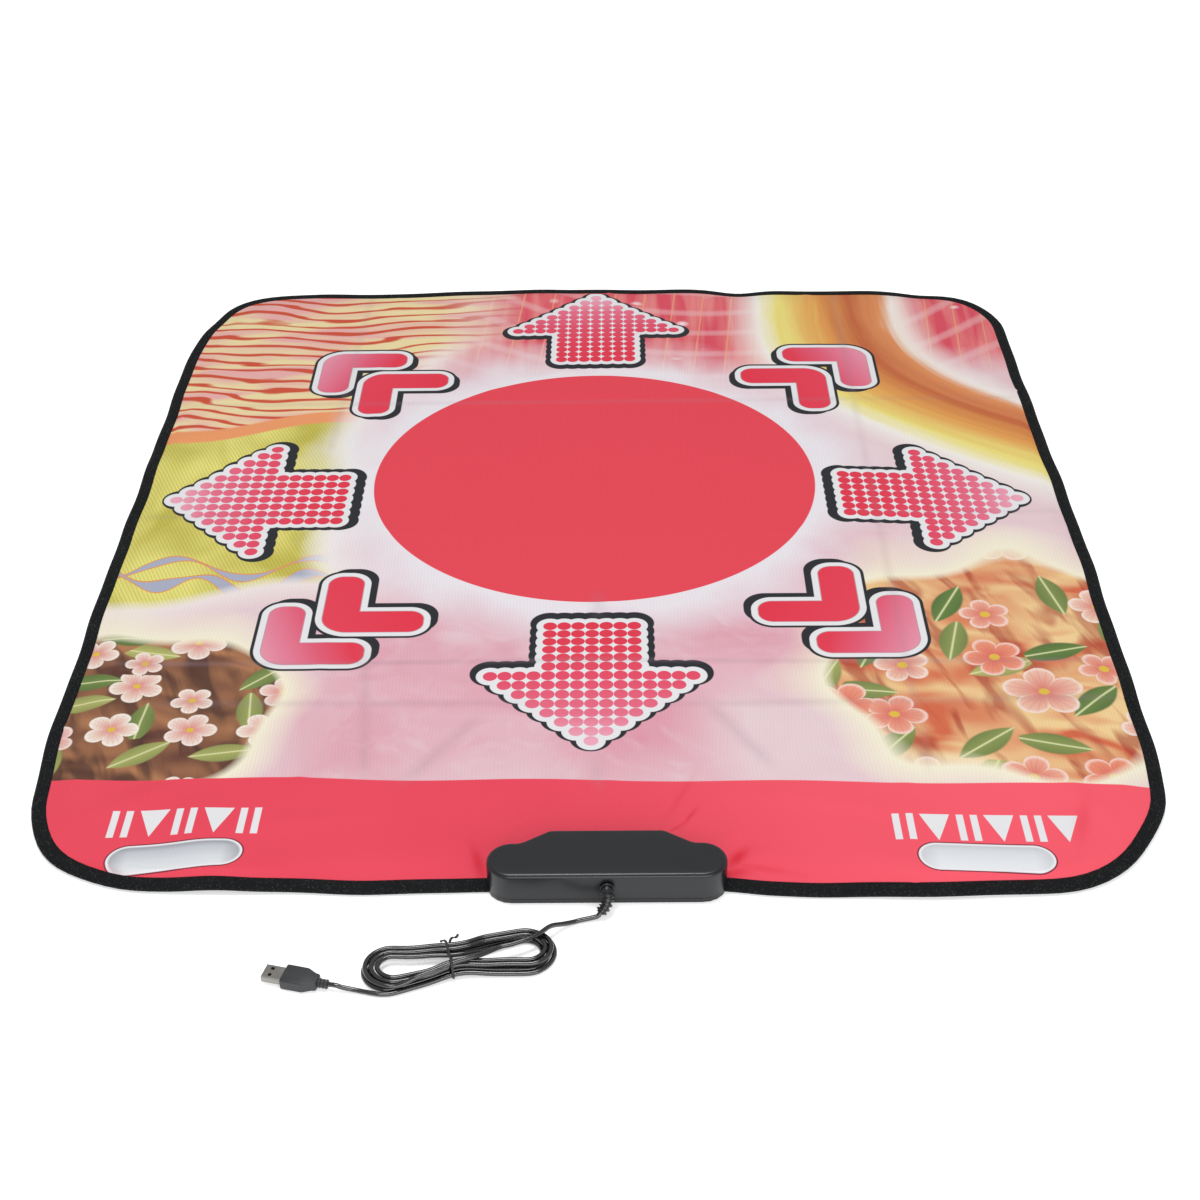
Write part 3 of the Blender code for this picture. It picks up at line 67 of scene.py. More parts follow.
# Sizes that the solids have too
mat = {
    "width": 0.820, "length": 0.930, "corner": 0.097, "coverTop": 0.00605, "cloth": 0.0005,
    "backing": 0.0006, "notchWidth": 0.110, "notchDepth": 0.0215,
}
box = {"x": 0.008, "width": 0.162, "overhang": 0.0105, "height": 0.0250, "exitHeight": 0.0146}
frontEdge = -mat["length"] / 2


def placed(name, data):
    # a new object of the scene that holds the data
    made = bpy.data.objects.new(name, data)
    bpy.context.scene.collection.objects.link(made)
    return made


# Camera

camera = {
    "spot": (0.016, -1.481, 0.925), "yaw": -0.58, "pitch": 34.05, "roll": -0.73, "lens": 60.5,
    "sensor": 36.0,
}


def makeCamera():
    # forward from yaw and pitch, then the picture's two axes turned about it by the roll
    yaw, pitch, roll = (math.radians(camera[key]) for key in ("yaw", "pitch", "roll"))
    ahead = math.cos(pitch)
    forward = Vector((math.sin(yaw) * ahead, math.cos(yaw) * ahead, -math.sin(pitch)))
    level = Vector((math.cos(yaw), -math.sin(yaw), 0.0))
    upright = level.cross(forward)
    across = math.cos(roll) * level + math.sin(roll) * upright
    over = math.cos(roll) * upright - math.sin(roll) * level
    data = bpy.data.cameras.new("pictureCamera")
    data.lens, data.sensor_width = camera["lens"], camera["sensor"]
    made = placed("pictureCamera", data)
    turn = Matrix((across, over, -forward)).transposed().to_4x4()
    made.matrix_world = Matrix.Translation(camera["spot"]) @ turn
    bpy.context.scene.camera = made


makeCamera()
print("camera placed")


# Meshes


def unit(vectors):
    # each vector at a length of one
    return vectors / np.linalg.norm(vectors, axis=-1, keepdims=True)


def circle(angle):
    # the points of a circle of radius one at these angles
    return np.stack((np.cos(angle), np.sin(angle)), -1)


def turned(x, y, heading):
    # how far a place lies along the heading, in degrees, and square to it
    cosine, sine = math.cos(math.radians(heading)), math.sin(math.radians(heading))
    return x * cosine + y * sine, y * cosine - x * sine


def lengthsAlong(line):
    # how far along the line each of its points lies
    return np.concatenate(((0.0,), np.cumsum(np.linalg.norm(np.diff(line, axis=0), axis=1))))


def piece(name, points, faces, material, body="mat", sharp=40):
    # one mesh in the row's frame that rides on a body
    mesh = bpy.data.meshes.new(name)
    mesh.from_pydata(np.asarray(points, float).tolist(), [], [list(map(int, f)) for f in faces])
    mesh.shade_smooth()
    mesh.set_sharp_from_angle(angle=math.radians(sharp))
    made = placed(name, mesh)
    mesh.materials.append(material)
    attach(made, body)
    return made


def volumeOf(points, faces):
    # a fan from each face's first corner, summed as tetrahedra to the origin
    total = 0.0
    for count in {len(face) for face in faces}:
        ring = points[np.array([face for face in faces if len(face) == count])]
        for corner in range(1, count - 1):
            pair = np.cross(ring[:, corner], ring[:, corner + 1])
            total += float((ring[:, 0] * pair).sum())
    return total / 6


def lofted(rings):
    # points and outward faces of a surface through rings of equal counts: quads between
    # neighbours, all the way round, and a fan to the middle of each end ring
    rings = np.asarray(rings, float)
    count, columns = rings.shape[:2]
    points = np.vstack((rings.reshape(-1, 3), rings[0].mean(0), rings[-1].mean(0)))
    one, row = np.arange(columns), np.arange(count - 1)[:, None] * columns
    two = (one + 1) % columns
    quads = np.stack((row + one, row + two, row + columns + two, row + columns + one), -1)
    faces = [tuple(face) for face in quads.reshape(-1, 4)]
    first, last, base = count * columns, count * columns + 1, (count - 1) * columns
    for index, after in zip(one, two):
        faces += [(first, after, index), (last, base + index, base + after)]
    if volumeOf(points, faces) < 0:
        faces = [face[::-1] for face in faces]
    return points, faces


def carried(path, section, reference=(0.0, 0.0, 1.0)):
    # each ring = path point + section x across + section y upward, where across stands
    # square to the path and to the reference
    way = unit(np.gradient(path, axis=0))
    across = unit(np.cross(way, reference))
    upward = np.cross(across, way)
    section = np.broadcast_to(section, (len(path), *np.shape(section)[-2:]))
    return path[:, None] + across[:, None] * section[..., :1] + upward[:, None] * section[..., 1:]


def roundSection(radius, count):
    # a circle's points; radius may be one number or one for each ring
    ring = circle(np.arange(count) * 2 * math.pi / count)
    return np.asarray(radius, float)[..., None, None] * ring


def catmull(knots, spacing, steps=40):
    # points at a steady spacing on the smooth curve through the knots
    knots = np.asarray(knots, float)
    padded = np.vstack((2 * knots[0] - knots[1], knots, 2 * knots[-1] - knots[-2]))
    share = np.linspace(0, 1, steps, endpoint=False)[None, :, None]
    p0, p1, p2, p3 = (padded[k:len(padded) - 3 + k, None] for k in range(4))
    curve = 0.5 * (
        2 * p1 + (p2 - p0) * share + (2 * p0 - 5 * p1 + 4 * p2 - p3) * share**2
        + (3 * p1 - p0 - 3 * p2 + p3) * share**3
    )
    curve = np.vstack((curve.reshape(-1, knots.shape[1]), knots[-1:]))
    return respaced(curve, spacing)


def respaced(curve, spacing):
    # the same curve with its points at a steady spacing
    along = lengthsAlong(curve)
    places = np.linspace(0, along[-1], max(2, round(along[-1] / spacing) + 1))
    return np.stack([np.interp(places, along, curve[:, k]) for k in range(curve.shape[1])], -1)


def rightOf(way):
    # square to each vector, on its right-hand side
    return np.column_stack((way[:, 1], -way[:, 0]))


def roundedCorners(corners, steps, grow=0.0):
    # the outline through corners (x, y, radius), moved outwards by grow, with each corner
    # rounded by an arc
    places, radii = np.array(corners)[:, :2], np.array(corners)[:, 2]
    way = unit(np.roll(places, -1, axis=0) - places)
    before = np.roll(way, 1, axis=0)
    turn = before[:, 0] * way[:, 1] - before[:, 1] * way[:, 0]
    outNow, outBefore = rightOf(way), rightOf(before)
    half = outNow + outBefore
    spread = half / (half * outNow).sum(-1, keepdims=True)
    moved = places + spread * grow
    radii = np.where(turn > 0, radii + grow, radii - grow)
    side = np.sign(turn)[:, None]
    centres = moved - spread * side * radii[:, None]
    points = []
    for index in range(len(corners)):
        start = math.atan2(*(outBefore[index] * side[index])[::-1])
        angle = math.asin(max(-1.0, min(1.0, turn[index])))
        if (before[index] * way[index]).sum() < 0:
            angle = math.copysign(math.pi, angle) - angle
        swing = start + angle * np.linspace(0, 1, steps + 1)
        points.append(centres[index] + circle(swing) * radii[index])
    return np.vstack(points)


def roundedBox(width, height, radius, steps=6):
    # a rectangle's outline with round corners, anticlockwise
    x, y = width / 2, height / 2
    corners = [(x, y, radius), (-x, y, radius), (-x, -y, radius), (x, -y, radius)]
    return roundedCorners(corners, steps)


def atHeight(outline, z):
    # the flat outline at one height, or at a height for each point
    return np.column_stack((outline, np.broadcast_to(z, len(outline))))


def smoothStep(value, low, high):
    # 0 up to low, 1 from high, and a smooth S between: 3 s s - 2 s s s
    share = np.clip((value - low) / (high - low), 0, 1)
    return share * share * (3 - 2 * share)


# Cord: the routes of the solids, joined into one smooth line from the relief to the plug

cord = {
    "diameter": 0.0033, "length": 1.565, "sides": 12, "spacing": 0.0014,
    "hankCentre": (-0.0885, -0.5315), "heading": 10.8, "halfRun": 0.0443, "inner": 0.0102,
    "turns": 5, "step": 0.0039, "layer": 0.00385, "waist": 0.0075, "floorGap": 0.0001,
    "runSteps": 4, "endSteps": 8, "clearance": 0.0003, "tie": 0.0012, "ease": 0.0024,
    "keptEnds": 0.012,
}
loose = {  # how far the upper strands stray, in waves; each fade runs from none to all
    "sway": 0.0017, "wave": 70.0, "phase": 0.9, "inwards": 1.9, "heightFade": (0.0032, 0.0050),
    "waistFade": (0.006, 0.022), "rightFade": (0.055, 0.064), "leftFade": (0.025, 0.050),
}
plug = {"place": (-0.1700, -0.5538), "heading": 165.5, "height": 0.0080}
reliefBend = [
    (0.0, 0.0, 0.0), (0.0001, -0.0032, -0.0004), (0.0005, -0.0064, -0.0032),
    (-0.0010, -0.0098, -0.0070), (-0.0046, -0.0132, -0.0103),
]


def reliefLine():
    # the curve that the sleeve follows, from just outside the box's front face
    face = np.array((box["x"], frontEdge - box["overhang"], box["exitHeight"]))
    return catmull(face + np.array(reliefBend) - (0, 0.0007, 0), 0.0001)


def hankLine():
    # loops in and out again in two layers, drawn in at the waist, then over the right-hand
    # end and down; x along the hank, y across it
    over = cord["tie"] + 2 * cord["clearance"] - cord["floorGap"]  # room for the tie below
    run, end, half = cord["runSteps"], cord["endSteps"], cord["halfRun"]
    perTurn = 2 * (run + end)
    reverse = 2 + (run + end + run / 2) / perTurn
    step = np.arange(cord["turns"] * perTurn + 1)
    turn, spot = step / perTurn, step % perTurn
    lane = cord["inner"] + cord["step"] * np.abs(reverse - turn)
    climb = np.clip((turn - reverse) * perTurn / run + 0.5, 0, 1)
    z = floorZ + cord["layer"] * climb**2 * (3 - 2 * climb)
    back = spot >= run + end  # the far run and the left-hand end
    spot = np.where(back, spot - run - end, spot)
    side = np.where(back, -1.0, 1.0)
    angle = math.pi * (np.clip(spot - run, 0, None) / end - 0.5)
    onRun = spot < run
    x = np.where(onRun, half * (2 * spot / run - 1), half + lane * np.cos(angle)) * side
    drawn = np.where(onRun, np.cos(math.pi * x / (2 * half)) ** 2, 0)
    y = np.where(onRun, cord["waist"] * drawn - lane, lane * np.sin(angle)) * side
    loops = np.stack((x, y, z + over * drawn**2), -1)
    top = floorZ + 2 * cord["layer"]
    entry = loops[0] + [(-0.0098, 0.0014, 0), (-0.0050, 0.0003, 0)]
    rise = loops[-1] + [
        (0.0100, 0.0018, 0.6 * cord["layer"]),
        (0.0200, 0.0050, cord["layer"] + 0.3 * over),
    ]
    crossing = [
        (-0.0120, -0.0118, top + 0.6 * over), (0.0, -0.0090, top + over),
        (0.0150, -0.0054, top + 0.5 * over), (0.0280, -0.0012, top), (0.0390, 0.0027, top),
        (0.0490, 0.0062, top), (0.0560, 0.0096, top), (0.0600, 0.0121, top - 0.0001),
        (0.0650, 0.0153, 0.0076), (0.0700, 0.0181, 0.0048), (0.0750, 0.0204, 0.0027),
        (0.0800, 0.0219, floorZ), (0.0840, 0.0226, floorZ),
    ]
    route = np.vstack((entry, loops, rise, crossing))
    route[:, :2] = toFloor(route[:, 0], route[:, 1]) + cord["hankCentre"]
    return route


def toFloor(along, across):
    # from the hank's own directions to the mat's
    return np.stack(turned(along, across, -cord["heading"]), -1)


def plugPoint(x, y, z):
    # the plug's own axes: x from the cord to the mouth, y across, z up from its middle
    x, y, z = np.broadcast_arrays(x, y, z)
    px, py = turned(x, y, -plug["heading"])
    spot = (*plug["place"], plug["height"] / 2 + cord["floorGap"])
    return np.stack((px, py, z), -1) + spot


def eased(line, reach, keep):
    # each point becomes the bell-weighted mean of its neighbours, except near the two ends
    count = max(1, round(3 * reach / cord["spacing"]))
    offset = np.arange(-count, count + 1)
    weight = np.exp(-0.5 * (offset * cord["spacing"] / reach) ** 2)
    index = np.clip(np.arange(len(line))[:, None] + offset, 0, len(line) - 1)
    mean = (line[index] * weight[:, None]).sum(1) / weight.sum()
    along = lengthsAlong(line)
    share = smoothStep(np.minimum(along, along[-1] - along), keep, keep + 0.02)[:, None]
    return line + (mean - line) * share


def loosened(line):
    # the upper strands lie a little off the lower ones, in long waves, and nothing else moves
    x, y = (line[:, :2] - cord["hankCentre"]).T
    along, across = turned(x, y, cord["heading"])
    upper = smoothStep(line[:, 2], *loose["heightFade"])
    upper = upper * smoothStep(np.abs(along), *loose["waistFade"])
    wave = loose["sway"] * upper * (1 - smoothStep(along, *loose["rightFade"]))
    sideways = wave * np.sin(along * loose["wave"] + np.sign(across) * loose["phase"])
    inwards = wave * loose["inwards"] * smoothStep(-along, *loose["leftFade"])
    moved = line.copy()
    moved[:, :2] += toFloor(inwards, sideways)
    return moved


def cordLine():
    # out of the sleeve, down to the floor, the hank from its far end, and to the plug
    bend = reliefLine()
    exitWay = unit(bend[-1] - bend[-3])
    exitPoint = bend[-1] + exitWay * cord["clearance"]
    lead = [exitPoint, exitPoint + exitWay * 0.0022, (-0.0018, frontEdge - 0.0266, 0.0022)]
    tail = [(-0.1530, frontEdge - 0.0915, floorZ + 0.0002)]
    tail += [plugPoint(x, 0, 0) for x in (-0.0043, -0.0003, 0.0015)]
    knots = np.vstack((bend[-12], lead, hankLine()[::-1], tail))
    route = eased(loosened(catmull(knots, cord["spacing"])), cord["ease"], cord["keptEnds"])
    return exitPoint, respaced(route, cord["spacing"])


floorZ = cord["diameter"] / 2 + cord["floorGap"]  # the cord's middle where it lies
cordExit, cordPath = cordLine()


# Materials


def ink(red, green, blue):
    # an 8-bit screen colour as the linear one that a shader takes
    share = np.array((red, green, blue)) / 255
    linear = np.where(share <= 0.04045, share / 12.92, ((share + 0.055) / 1.055) ** 2.4)
    return (*linear.tolist(), 1.0)


def sums(operation, swapped=False):
    # a method that adds the Math node of that operation
    def method(self, *others):
        values = (*others, self) if swapped else (self, *others)
        return self.finish.math(operation, *values)

    return method


class Wire:
    # a socket in a sum: an expression on wires adds the Math nodes that work it out
    __add__ = __radd__ = sums("ADD")
    __sub__, __rsub__ = sums("SUBTRACT"), sums("SUBTRACT", swapped=True)
    __mul__ = __rmul__ = sums("MULTIPLY")
    __truediv__, __pow__, __abs__ = sums("DIVIDE"), sums("POWER"), sums("ABSOLUTE")
    least, most = sums("MINIMUM"), sums("MAXIMUM")
    over = sums("GREATER_THAN")  # 1 where the wire is greater
    nearest, floored = sums("ROUND"), sums("FLOOR")
    sine, cosine = sums("SINE"), sums("COSINE")

    def __init__(self, finish, socket):
        self.finish, self.socket = finish, socket

    def output(self, name):
        # another output of the same node
        return Wire(self.finish, self.socket.node.outputs[name])

    def wave(self, length, phase=0.0):
        # a sine of that length
        return (self * (2 * math.pi / length) + phase).sine()

    def below(self, limit, soft=0.5):
        # 1 under the limit and 0 over it, with a soft step between
        return self.finish.math("MULTIPLY_ADD", self, -1 / soft, limit / soft + 0.5, clamp=True)

    def above(self, limit, soft=0.5):
        return self.finish.math("MULTIPLY_ADD", self, 1 / soft, 0.5 - limit / soft, clamp=True)


class Finish:
    # a material and what builds its nodes; colours are given as three 8-bit numbers
    def __init__(self, name, **constants):
        self.material = bpy.data.materials.new(name)
        self.material.use_nodes = True
        self.tree = self.material.node_tree
        self.shader = self.tree.nodes["Principled BSDF"]
        self.place = self.add("TexCoord", {}, {}, "Object")
        self.set(**constants)

    def set(self, **values):
        # the shader's sockets by name, with _ for a space
        for name, value in values.items():
            self.join(value, self.shader.inputs[name.replace("_", " ")])
        return self

    def join(self, value, socket):
        if isinstance(value, Wire):
            self.tree.links.new(value.socket, socket)
        elif socket.type == "RGBA" and len(value) == 3:
            socket.default_value = ink(*value)
        else:
            socket.default_value = value

    def add(self, kind, settings, sockets, output=0):
        made = self.tree.nodes.new("ShaderNode" + kind)
        for name, value in settings.items():
            if name == "stops":
                while len(made.color_ramp.elements) < len(value):
                    made.color_ramp.elements.new(1.0)
                for element, (place, colour) in zip(made.color_ramp.elements, value):
                    element.position, element.color = place, ink(*colour)
            else:
                setattr(made, name, value)
        for name, value in sockets.items():
            self.join(value, made.inputs[name])
        return Wire(self, made.outputs[output])

    def math(self, operation, *values, clamp=False):
        settings = {"operation": operation, "use_clamp": clamp}
        return self.add("Math", settings, dict(enumerate(values)))

    def parts(self, vector, count=3):
        return [self.add("SeparateXYZ", {}, {0: vector}, k) for k in range(count)]

    def spot(self):
        # the Object coordinates x and y, in millimetres
        return [part * 1000.0 for part in self.parts(self.place, 2)]

    def vector(self, x, y):
        return self.add("CombineXYZ", {}, {0: x, 1: y, 2: 0.0})

    def stretched(self, scale):
        return self.add("VectorMath", {"operation": "MULTIPLY"}, {0: self.place, 1: scale})

    def distance(self, x, y):
        return self.add("VectorMath", {"operation": "LENGTH"}, {0: self.vector(x, y)}, "Value")

    def noise(self, scale, detail=2.0, roughness=0.5, warp=0.0, at=None):
        sockets = {
            "Vector": at or self.place, "Scale": scale, "Detail": detail, "Roughness": roughness,
            "Distortion": warp,
        }
        return self.add("TexNoise", {}, sockets)

    def streaks(self, x, y, warp, detail=2.0, roughness=0.5):
        # noise over two measures of the place
        return self.noise(1.0, detail, roughness, warp, self.vector(x, y))

    def cells(self, scale):
        sockets = {"Vector": self.place, "Scale": scale}
        return self.add("TexVoronoi", {"feature": "F1"}, sockets, "Distance")

    def mixed(self, factor, low, high, blend="MIX"):
        settings = {"data_type": "RGBA", "blend_type": blend}
        return self.add("Mix", settings, {0: factor, 6: low, 7: high}, 2)

    def painted(self, colour, *layers):
        # each layer's colour over the one so far, as far as its mask says
        for mask, layer in layers:
            colour = self.mixed(mask, colour, layer)
        return colour

    def ramp(self, factor, *stops):
        return self.add("ValToRGB", {"stops": stops}, {0: factor})

    def bump(self, height, strength, distance):
        sockets = {"Height": height, "Strength": strength, "Distance": distance}
        return self.set(Normal=self.add("Bump", {}, sockets))


grains = {  # the grain's noise, the slow patches' noise, how far the grain dulls, bump, constants
    "rubber": ((2600.0, 3.0, 0.6), (120.0, 3.0), 0.12, (0.25, 0.00008), {"IOR": 1.5}),
    "shell": ((2200.0, 2.0, 0.6), (18.0, 2.0), 0.08, (0.12, 0.00008), {"IOR": 1.5}),
    "moulded": ((1800.0, 2.0), (90.0, 3.0), 0.10, (0.12, 0.00005), {}),
    "steel": ((1.0, 1.0), (130.0, 2.0), 0.14, (0.04, 0.00002), {"Metallic": 1.0}),
}
brushing = (500, 900, 2600)  # the stretch of the fine scratches on steel


def plainFinish(kind, name, low, high, roughness, coat=0.0):
    # two close tones in slow patches, with uneven gloss and a fine grain
    grain, patches, dulling, bump, constants = grains[kind]
    m = Finish(name, Coat_Weight=coat, **constants)
    fine = m.noise(*grain, at=m.stretched(brushing) if kind == "steel" else None)
    m.set(Base_Color=m.mixed(m.noise(*patches), low, high), Roughness=fine * dulling + roughness)
    return m.bump(fine, *bump).material


def cordFinish():
    # soft black plastic: a faint orange-peel and long, slow changes of gloss
    m = Finish("blackCord", IOR=1.8)
    slow = m.noise(60.0, 3.0)
    m.set(Base_Color=m.mixed(slow, (13, 14, 16), (24, 25, 27)), Roughness=slow * 0.06 + 0.09)
    return m.bump(m.noise(900.0, 2.0), 0.04, 0.0001).material


ringBlack = plainFinish("rubber", "reliefRubber", (17, 18, 20), (30, 31, 33), 0.22)
plugBlack = plainFinish("rubber", "plugMoulding", (34, 36, 39), (52, 54, 58), 0.42)
tieBlack = plainFinish("rubber", "tieCoat", (22, 23, 25), (40, 41, 44), 0.4)


def sweptPiece(name, rings, material, sharp=40):
    # the lofted rings as a piece
    points, faces = lofted(rings)
    return piece(name, points, faces, material, sharp=sharp)


cordRings = carried(cordPath, roundSection(cord["diameter"] / 2, cord["sides"]))
cordPiece = sweptPiece("cord", cordRings, cordFinish())
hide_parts("cord_lead", "cord_hank", "cord_tail")


relief = {
    "rings": 7, "root": 0.0050, "end": 0.0038, "groove": 0.0012, "sides": 32, "steps": 240,
    "rise": 0.10, "ringEnd": 0.66,  # shares of a ring's pitch
    # the flange behind the wall and the neck through it: how far back, and its radius
    "neck": [
        (0.0045, 0.0042), (0.0031, 0.0042), (0.0030, 0.0029), (0.0003, 0.0029),
        (0.0002, 0.0036),
    ],
}


def makeRelief():
    # rings along the sleeve: each swells to its radius and drops into a groove, and tapers
    bend = reliefLine()
    along = lengthsAlong(bend)
    place = np.linspace(0, along[-1], relief["steps"])
    share = place / along[-1] * relief["rings"]
    phase = share - np.floor(share)
    phase[-1] = 0.5
    radius = relief["root"] + (relief["end"] - relief["root"]) * share / relief["rings"]
    # a ring rises to its full radius, stays there and drops to the groove at its end
    rise = np.clip(phase / relief["rise"], 0, 1)
    rise = rise * np.clip((relief["ringEnd"] - phase) / relief["rise"], 0, 1)
    radius = radius - relief["groove"] * (1 - rise * (2 - rise))
    line = np.stack([np.interp(place, along, bend[:, k]) for k in range(3)], -1)
    back, neckRadius = np.array(relief["neck"]).T
    line = np.vstack((line[0] + back[:, None] * (0, 1, 0), line))
    radius = np.concatenate((neckRadius, radius))
    rings = carried(line, roundSection(radius, relief["sides"]))
    made = sweptPiece("strainRelief", rings, ringBlack)
    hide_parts("strain_relief")


makeRelief()


tie = {
    "width": 0.0017, "thickness": 0.0008, "halfSpread": 0.0014, "sides": 12, "shift": -0.0046,
    # the twisted ends' points from the loop's: away from it, up, and along the hank
    "startEnd": [(0.0008, -0.0004, -0.0036), (0.0008, 0.0002, -0.0014)],
    "lastEnd": [(0.0012, 0.0010, 0.0014), (0.0014, 0.0012, 0.0044), (0.0026, 0.0024, 0.0058)],
}


def makeTie():
    # a coated wire laid round the outside of all the strands, its ends twisted and turned up
    way, side = toFloor(1.0, 0.0), toFloor(0.0, 1.0)
    middle = np.array(cord["hankCentre"]) + way * tie["shift"]
    local = cordPath[:, :2] - middle
    along, across = local @ way, local @ side
    cross = np.nonzero((along[:-1] * along[1:] <= 0) & (np.abs(across[:-1]) < 0.03))[0]
    share = (along[cross] / (along[cross] - along[cross + 1]))[:, None]
    section = np.column_stack((across, cordPath[:, 2]))
    spots = section[cross] + share * (section[cross + 1] - section[cross])
    reach = cord["diameter"] / 2 + cord["clearance"] + cord["tie"] / 2
    rounds = (spots[:, None] + roundSection(reach, 24)).reshape(-1, 2)
    outline = rounds[convex_hull_2d(rounds.tolist())]
    outline[:, 1] = np.maximum(outline[:, 1], cord["tie"] / 2 + cord["clearance"] / 2)
    outline = np.roll(outline, -np.argmax(outline[:, 0] + outline[:, 1]), axis=0)
    loop = respaced(np.vstack((outline, outline[:1])), 0.0012)
    shift = np.linspace(-1, 1, len(loop))[:, None] * tie["halfSpread"]
    body = np.column_stack((middle + way * shift + side * loop[:, :1], loop[:, 1]))
    axes = np.array(((*side, 0.0), (0.0, 0.0, 1.0), (*way, 0.0)))
    startEnd, lastEnd = body[0] + tie["startEnd"] @ axes, body[-1] + tie["lastEnd"] @ axes
    line = catmull(np.vstack((startEnd, body[::3], body[-1:], lastEnd)), 0.0005)
    # flat wings on each side of a round wire
    wide, thick = circle(np.arange(tie["sides"]) * 2 * math.pi / tie["sides"]).T / 2
    thick = thick * tie["thickness"] * (0.45 + 1.1 * np.abs(thick))
    rings = carried(line, np.stack((thick, wide * tie["width"]), -1), (*way, 0.0))
    made = sweptPiece("twistTie", rings, tieBlack, sharp=60)
    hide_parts("twist_tie")
    return made


tiePiece = makeTie()

mould = {
    "ringRadius": 0.0031, "groove": 0.0006, "rings": 3, "pitch": 0.0022, "bodyLength": 0.0235,
    "width": 0.0158, "height": 0.0080, "shellWidth": 0.0120, "shellHeight": 0.0045,
    "flare": [  # from the rings: how far along, width, height and corner
        (0.0000, 0.0088, 0.0058, 0.0016), (0.0003, 0.0096, 0.0064, 0.0016),
        (0.0008, 0.0102, 0.0067, 0.0014), (0.0030, 0.0108, 0.0068, 0.0014),
        (0.0036, 0.0113, 0.0069, 0.0013), (0.0078, 0.0150, 0.0077, 0.0012),
        (0.0088, 0.0156, 0.00795, 0.0012), (0.0100, 0.0158, 0.0080, 0.0012),
    ],
    # round the end and into the shell's seat: how far back, how much less than the body or
    # more than the shell, and the corner
    "mouth": [
        (0.0012, 0.0, 0.0012), (0.0005, 0.0003, 0.0012), (0.0001, 0.0011, 0.0011),
        (0.0, 0.0018, 0.0009),
    ],
    "seat": [(0.0, 0.0007, 0.0009), (0.0003, 0.0004, 0.0008), (0.0020, 0.0004, 0.0008)],
}


def makeMould():
    # sections along the plug: three rings, a neck, a flared body and the seat of the shell
    full, low = 2 * mould["ringRadius"], 2 * (mould["ringRadius"] - mould["groove"])
    profile = (  # share of the pitch, width and height
        (0.0, full - 0.0006), (0.08, full), (0.50, full), (0.58, full - 0.0005), (0.62, low),
        (0.94, low),
    )
    stations = [
        ((index + share) * mould["pitch"], size, size, 0.48 * size)
        for index in range(mould["rings"]) for share, size in profile
    ]
    start = mould["rings"] * mould["pitch"]
    end = start + mould["bodyLength"]
    stations += [(start + x, *sizes) for x, *sizes in mould["flare"]]
    for back, less, corner in mould["mouth"]:
        stations.append((end - back, mould["width"] - less, mould["height"] - less, corner))
    for back, more, corner in mould["seat"]:
        sizes = mould["shellWidth"] + more, mould["shellHeight"] + more
        stations.append((end - back, *sizes, corner))
    rings = []
    for x, *sizes in stations:
        y, z = roundedBox(*sizes).T
        rings.append(plugPoint(x, y, z))
    made = sweptPiece("plugMould", rings, plugBlack, sharp=32)
    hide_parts("plug_overmould")
    return made


mouldPiece = makeMould()
print("cord, relief, tie and plug made,", round(lengthsAlong(cordPath)[-1], 3), "m of cord")


# The mat's lift: how far the cloth stands off its flat place, with soft humps where it was folded

bumpUnits = (mm, mm, mm, mm, mm, 1)
humps = [  # x, y, height, half length and half width in millimetres, heading
    (0, -205, 2.4, 110, 34, 4), (245, 40, 1, 60, 48, 60), (-350, 112, 3, 80, 22, 11),
    (-250, -330, 1.8, 120, 40, -20), (300, -300, 2, 110, 36, 28), (60, 330, 1.8, 160, 50, -5),
    (-40, 440, 1.2, 60, 30, 0), (90, 440, 1.4, 40, 30, 0), (-270, -420, 2.8, 22, 60, 20),
    (215, -432, 1.4, 45, 32, 0), (-398, -120, 1.6, 26, 70, 0), (398, -60, 1.4, 26, 80, 0),
]
pinches = [  # short creases of the cover alone, in the same way
    (88, -418, 1.6, 16, 4.2, 62), (104, -436, 1.2, 22, 4, 20), (-84, -424, 1.1, 20, 4.5, 150),
    (62, -398, 1, 20, 5, 85), (-40, -404, 0.8, 22, 5.5, 100), (350, -380, 1.2, 40, 7, 118),
    (-330, -372, 1.2, 45, 7.5, 30), (-200, -395, 1, 50, 8, 8), (180, -380, 1, 55, 8, -12),
    (-385, 150, 1.4, 30, 6, 15), (385, 330, 1.2, 35, 7, -35), (300, 430, 1.4, 30, 7, 70),
]
creases = [  # along x or along y, place, height and half width in millimetres
    ("y", 12, 0.7, 4.5), ("y", -214, 0.6, 5), ("y", 218, 0.6, 5), ("x", -282, 0.6, 4.5),
    ("x", -16, 0.6, 5), ("x", 236, 0.6, 4.5),
]


laid = {  # how the cloth lies; each fade runs from none to all
    "wander": 0.003, "wanderWave": (21.0, 40), "creaseWave": (13.0, 90), "ripple": 0.0006,
    "ripples": [(0.6, 39.0, 17.0, 0.0), (0.4, 23.0, -41.0, 1.3)], "rippleFade": (0.0, 0.075),
    "pinchFade": (0.012, 0.030), "boxHalf": 0.085, "boxBack": -0.420, "boxFade": (0.004, 0.080),
    "strayFade": (0.004, 0.085), "strayBoxFade": (-0.020, 0.030), "behind": -0.4,
    "narrower": 0.04,
}


def edgeInset(x, y):
    # how far inside the mat's round-cornered outline a place is
    corner = mat["corner"]
    overX = np.abs(x) - mat["width"] / 2 + corner
    overY = np.abs(y) - mat["length"] / 2 + corner
    outside = np.hypot(np.maximum(overX, 0), np.maximum(overY, 0))
    return corner - outside - np.minimum(np.maximum(overX, overY), 0)


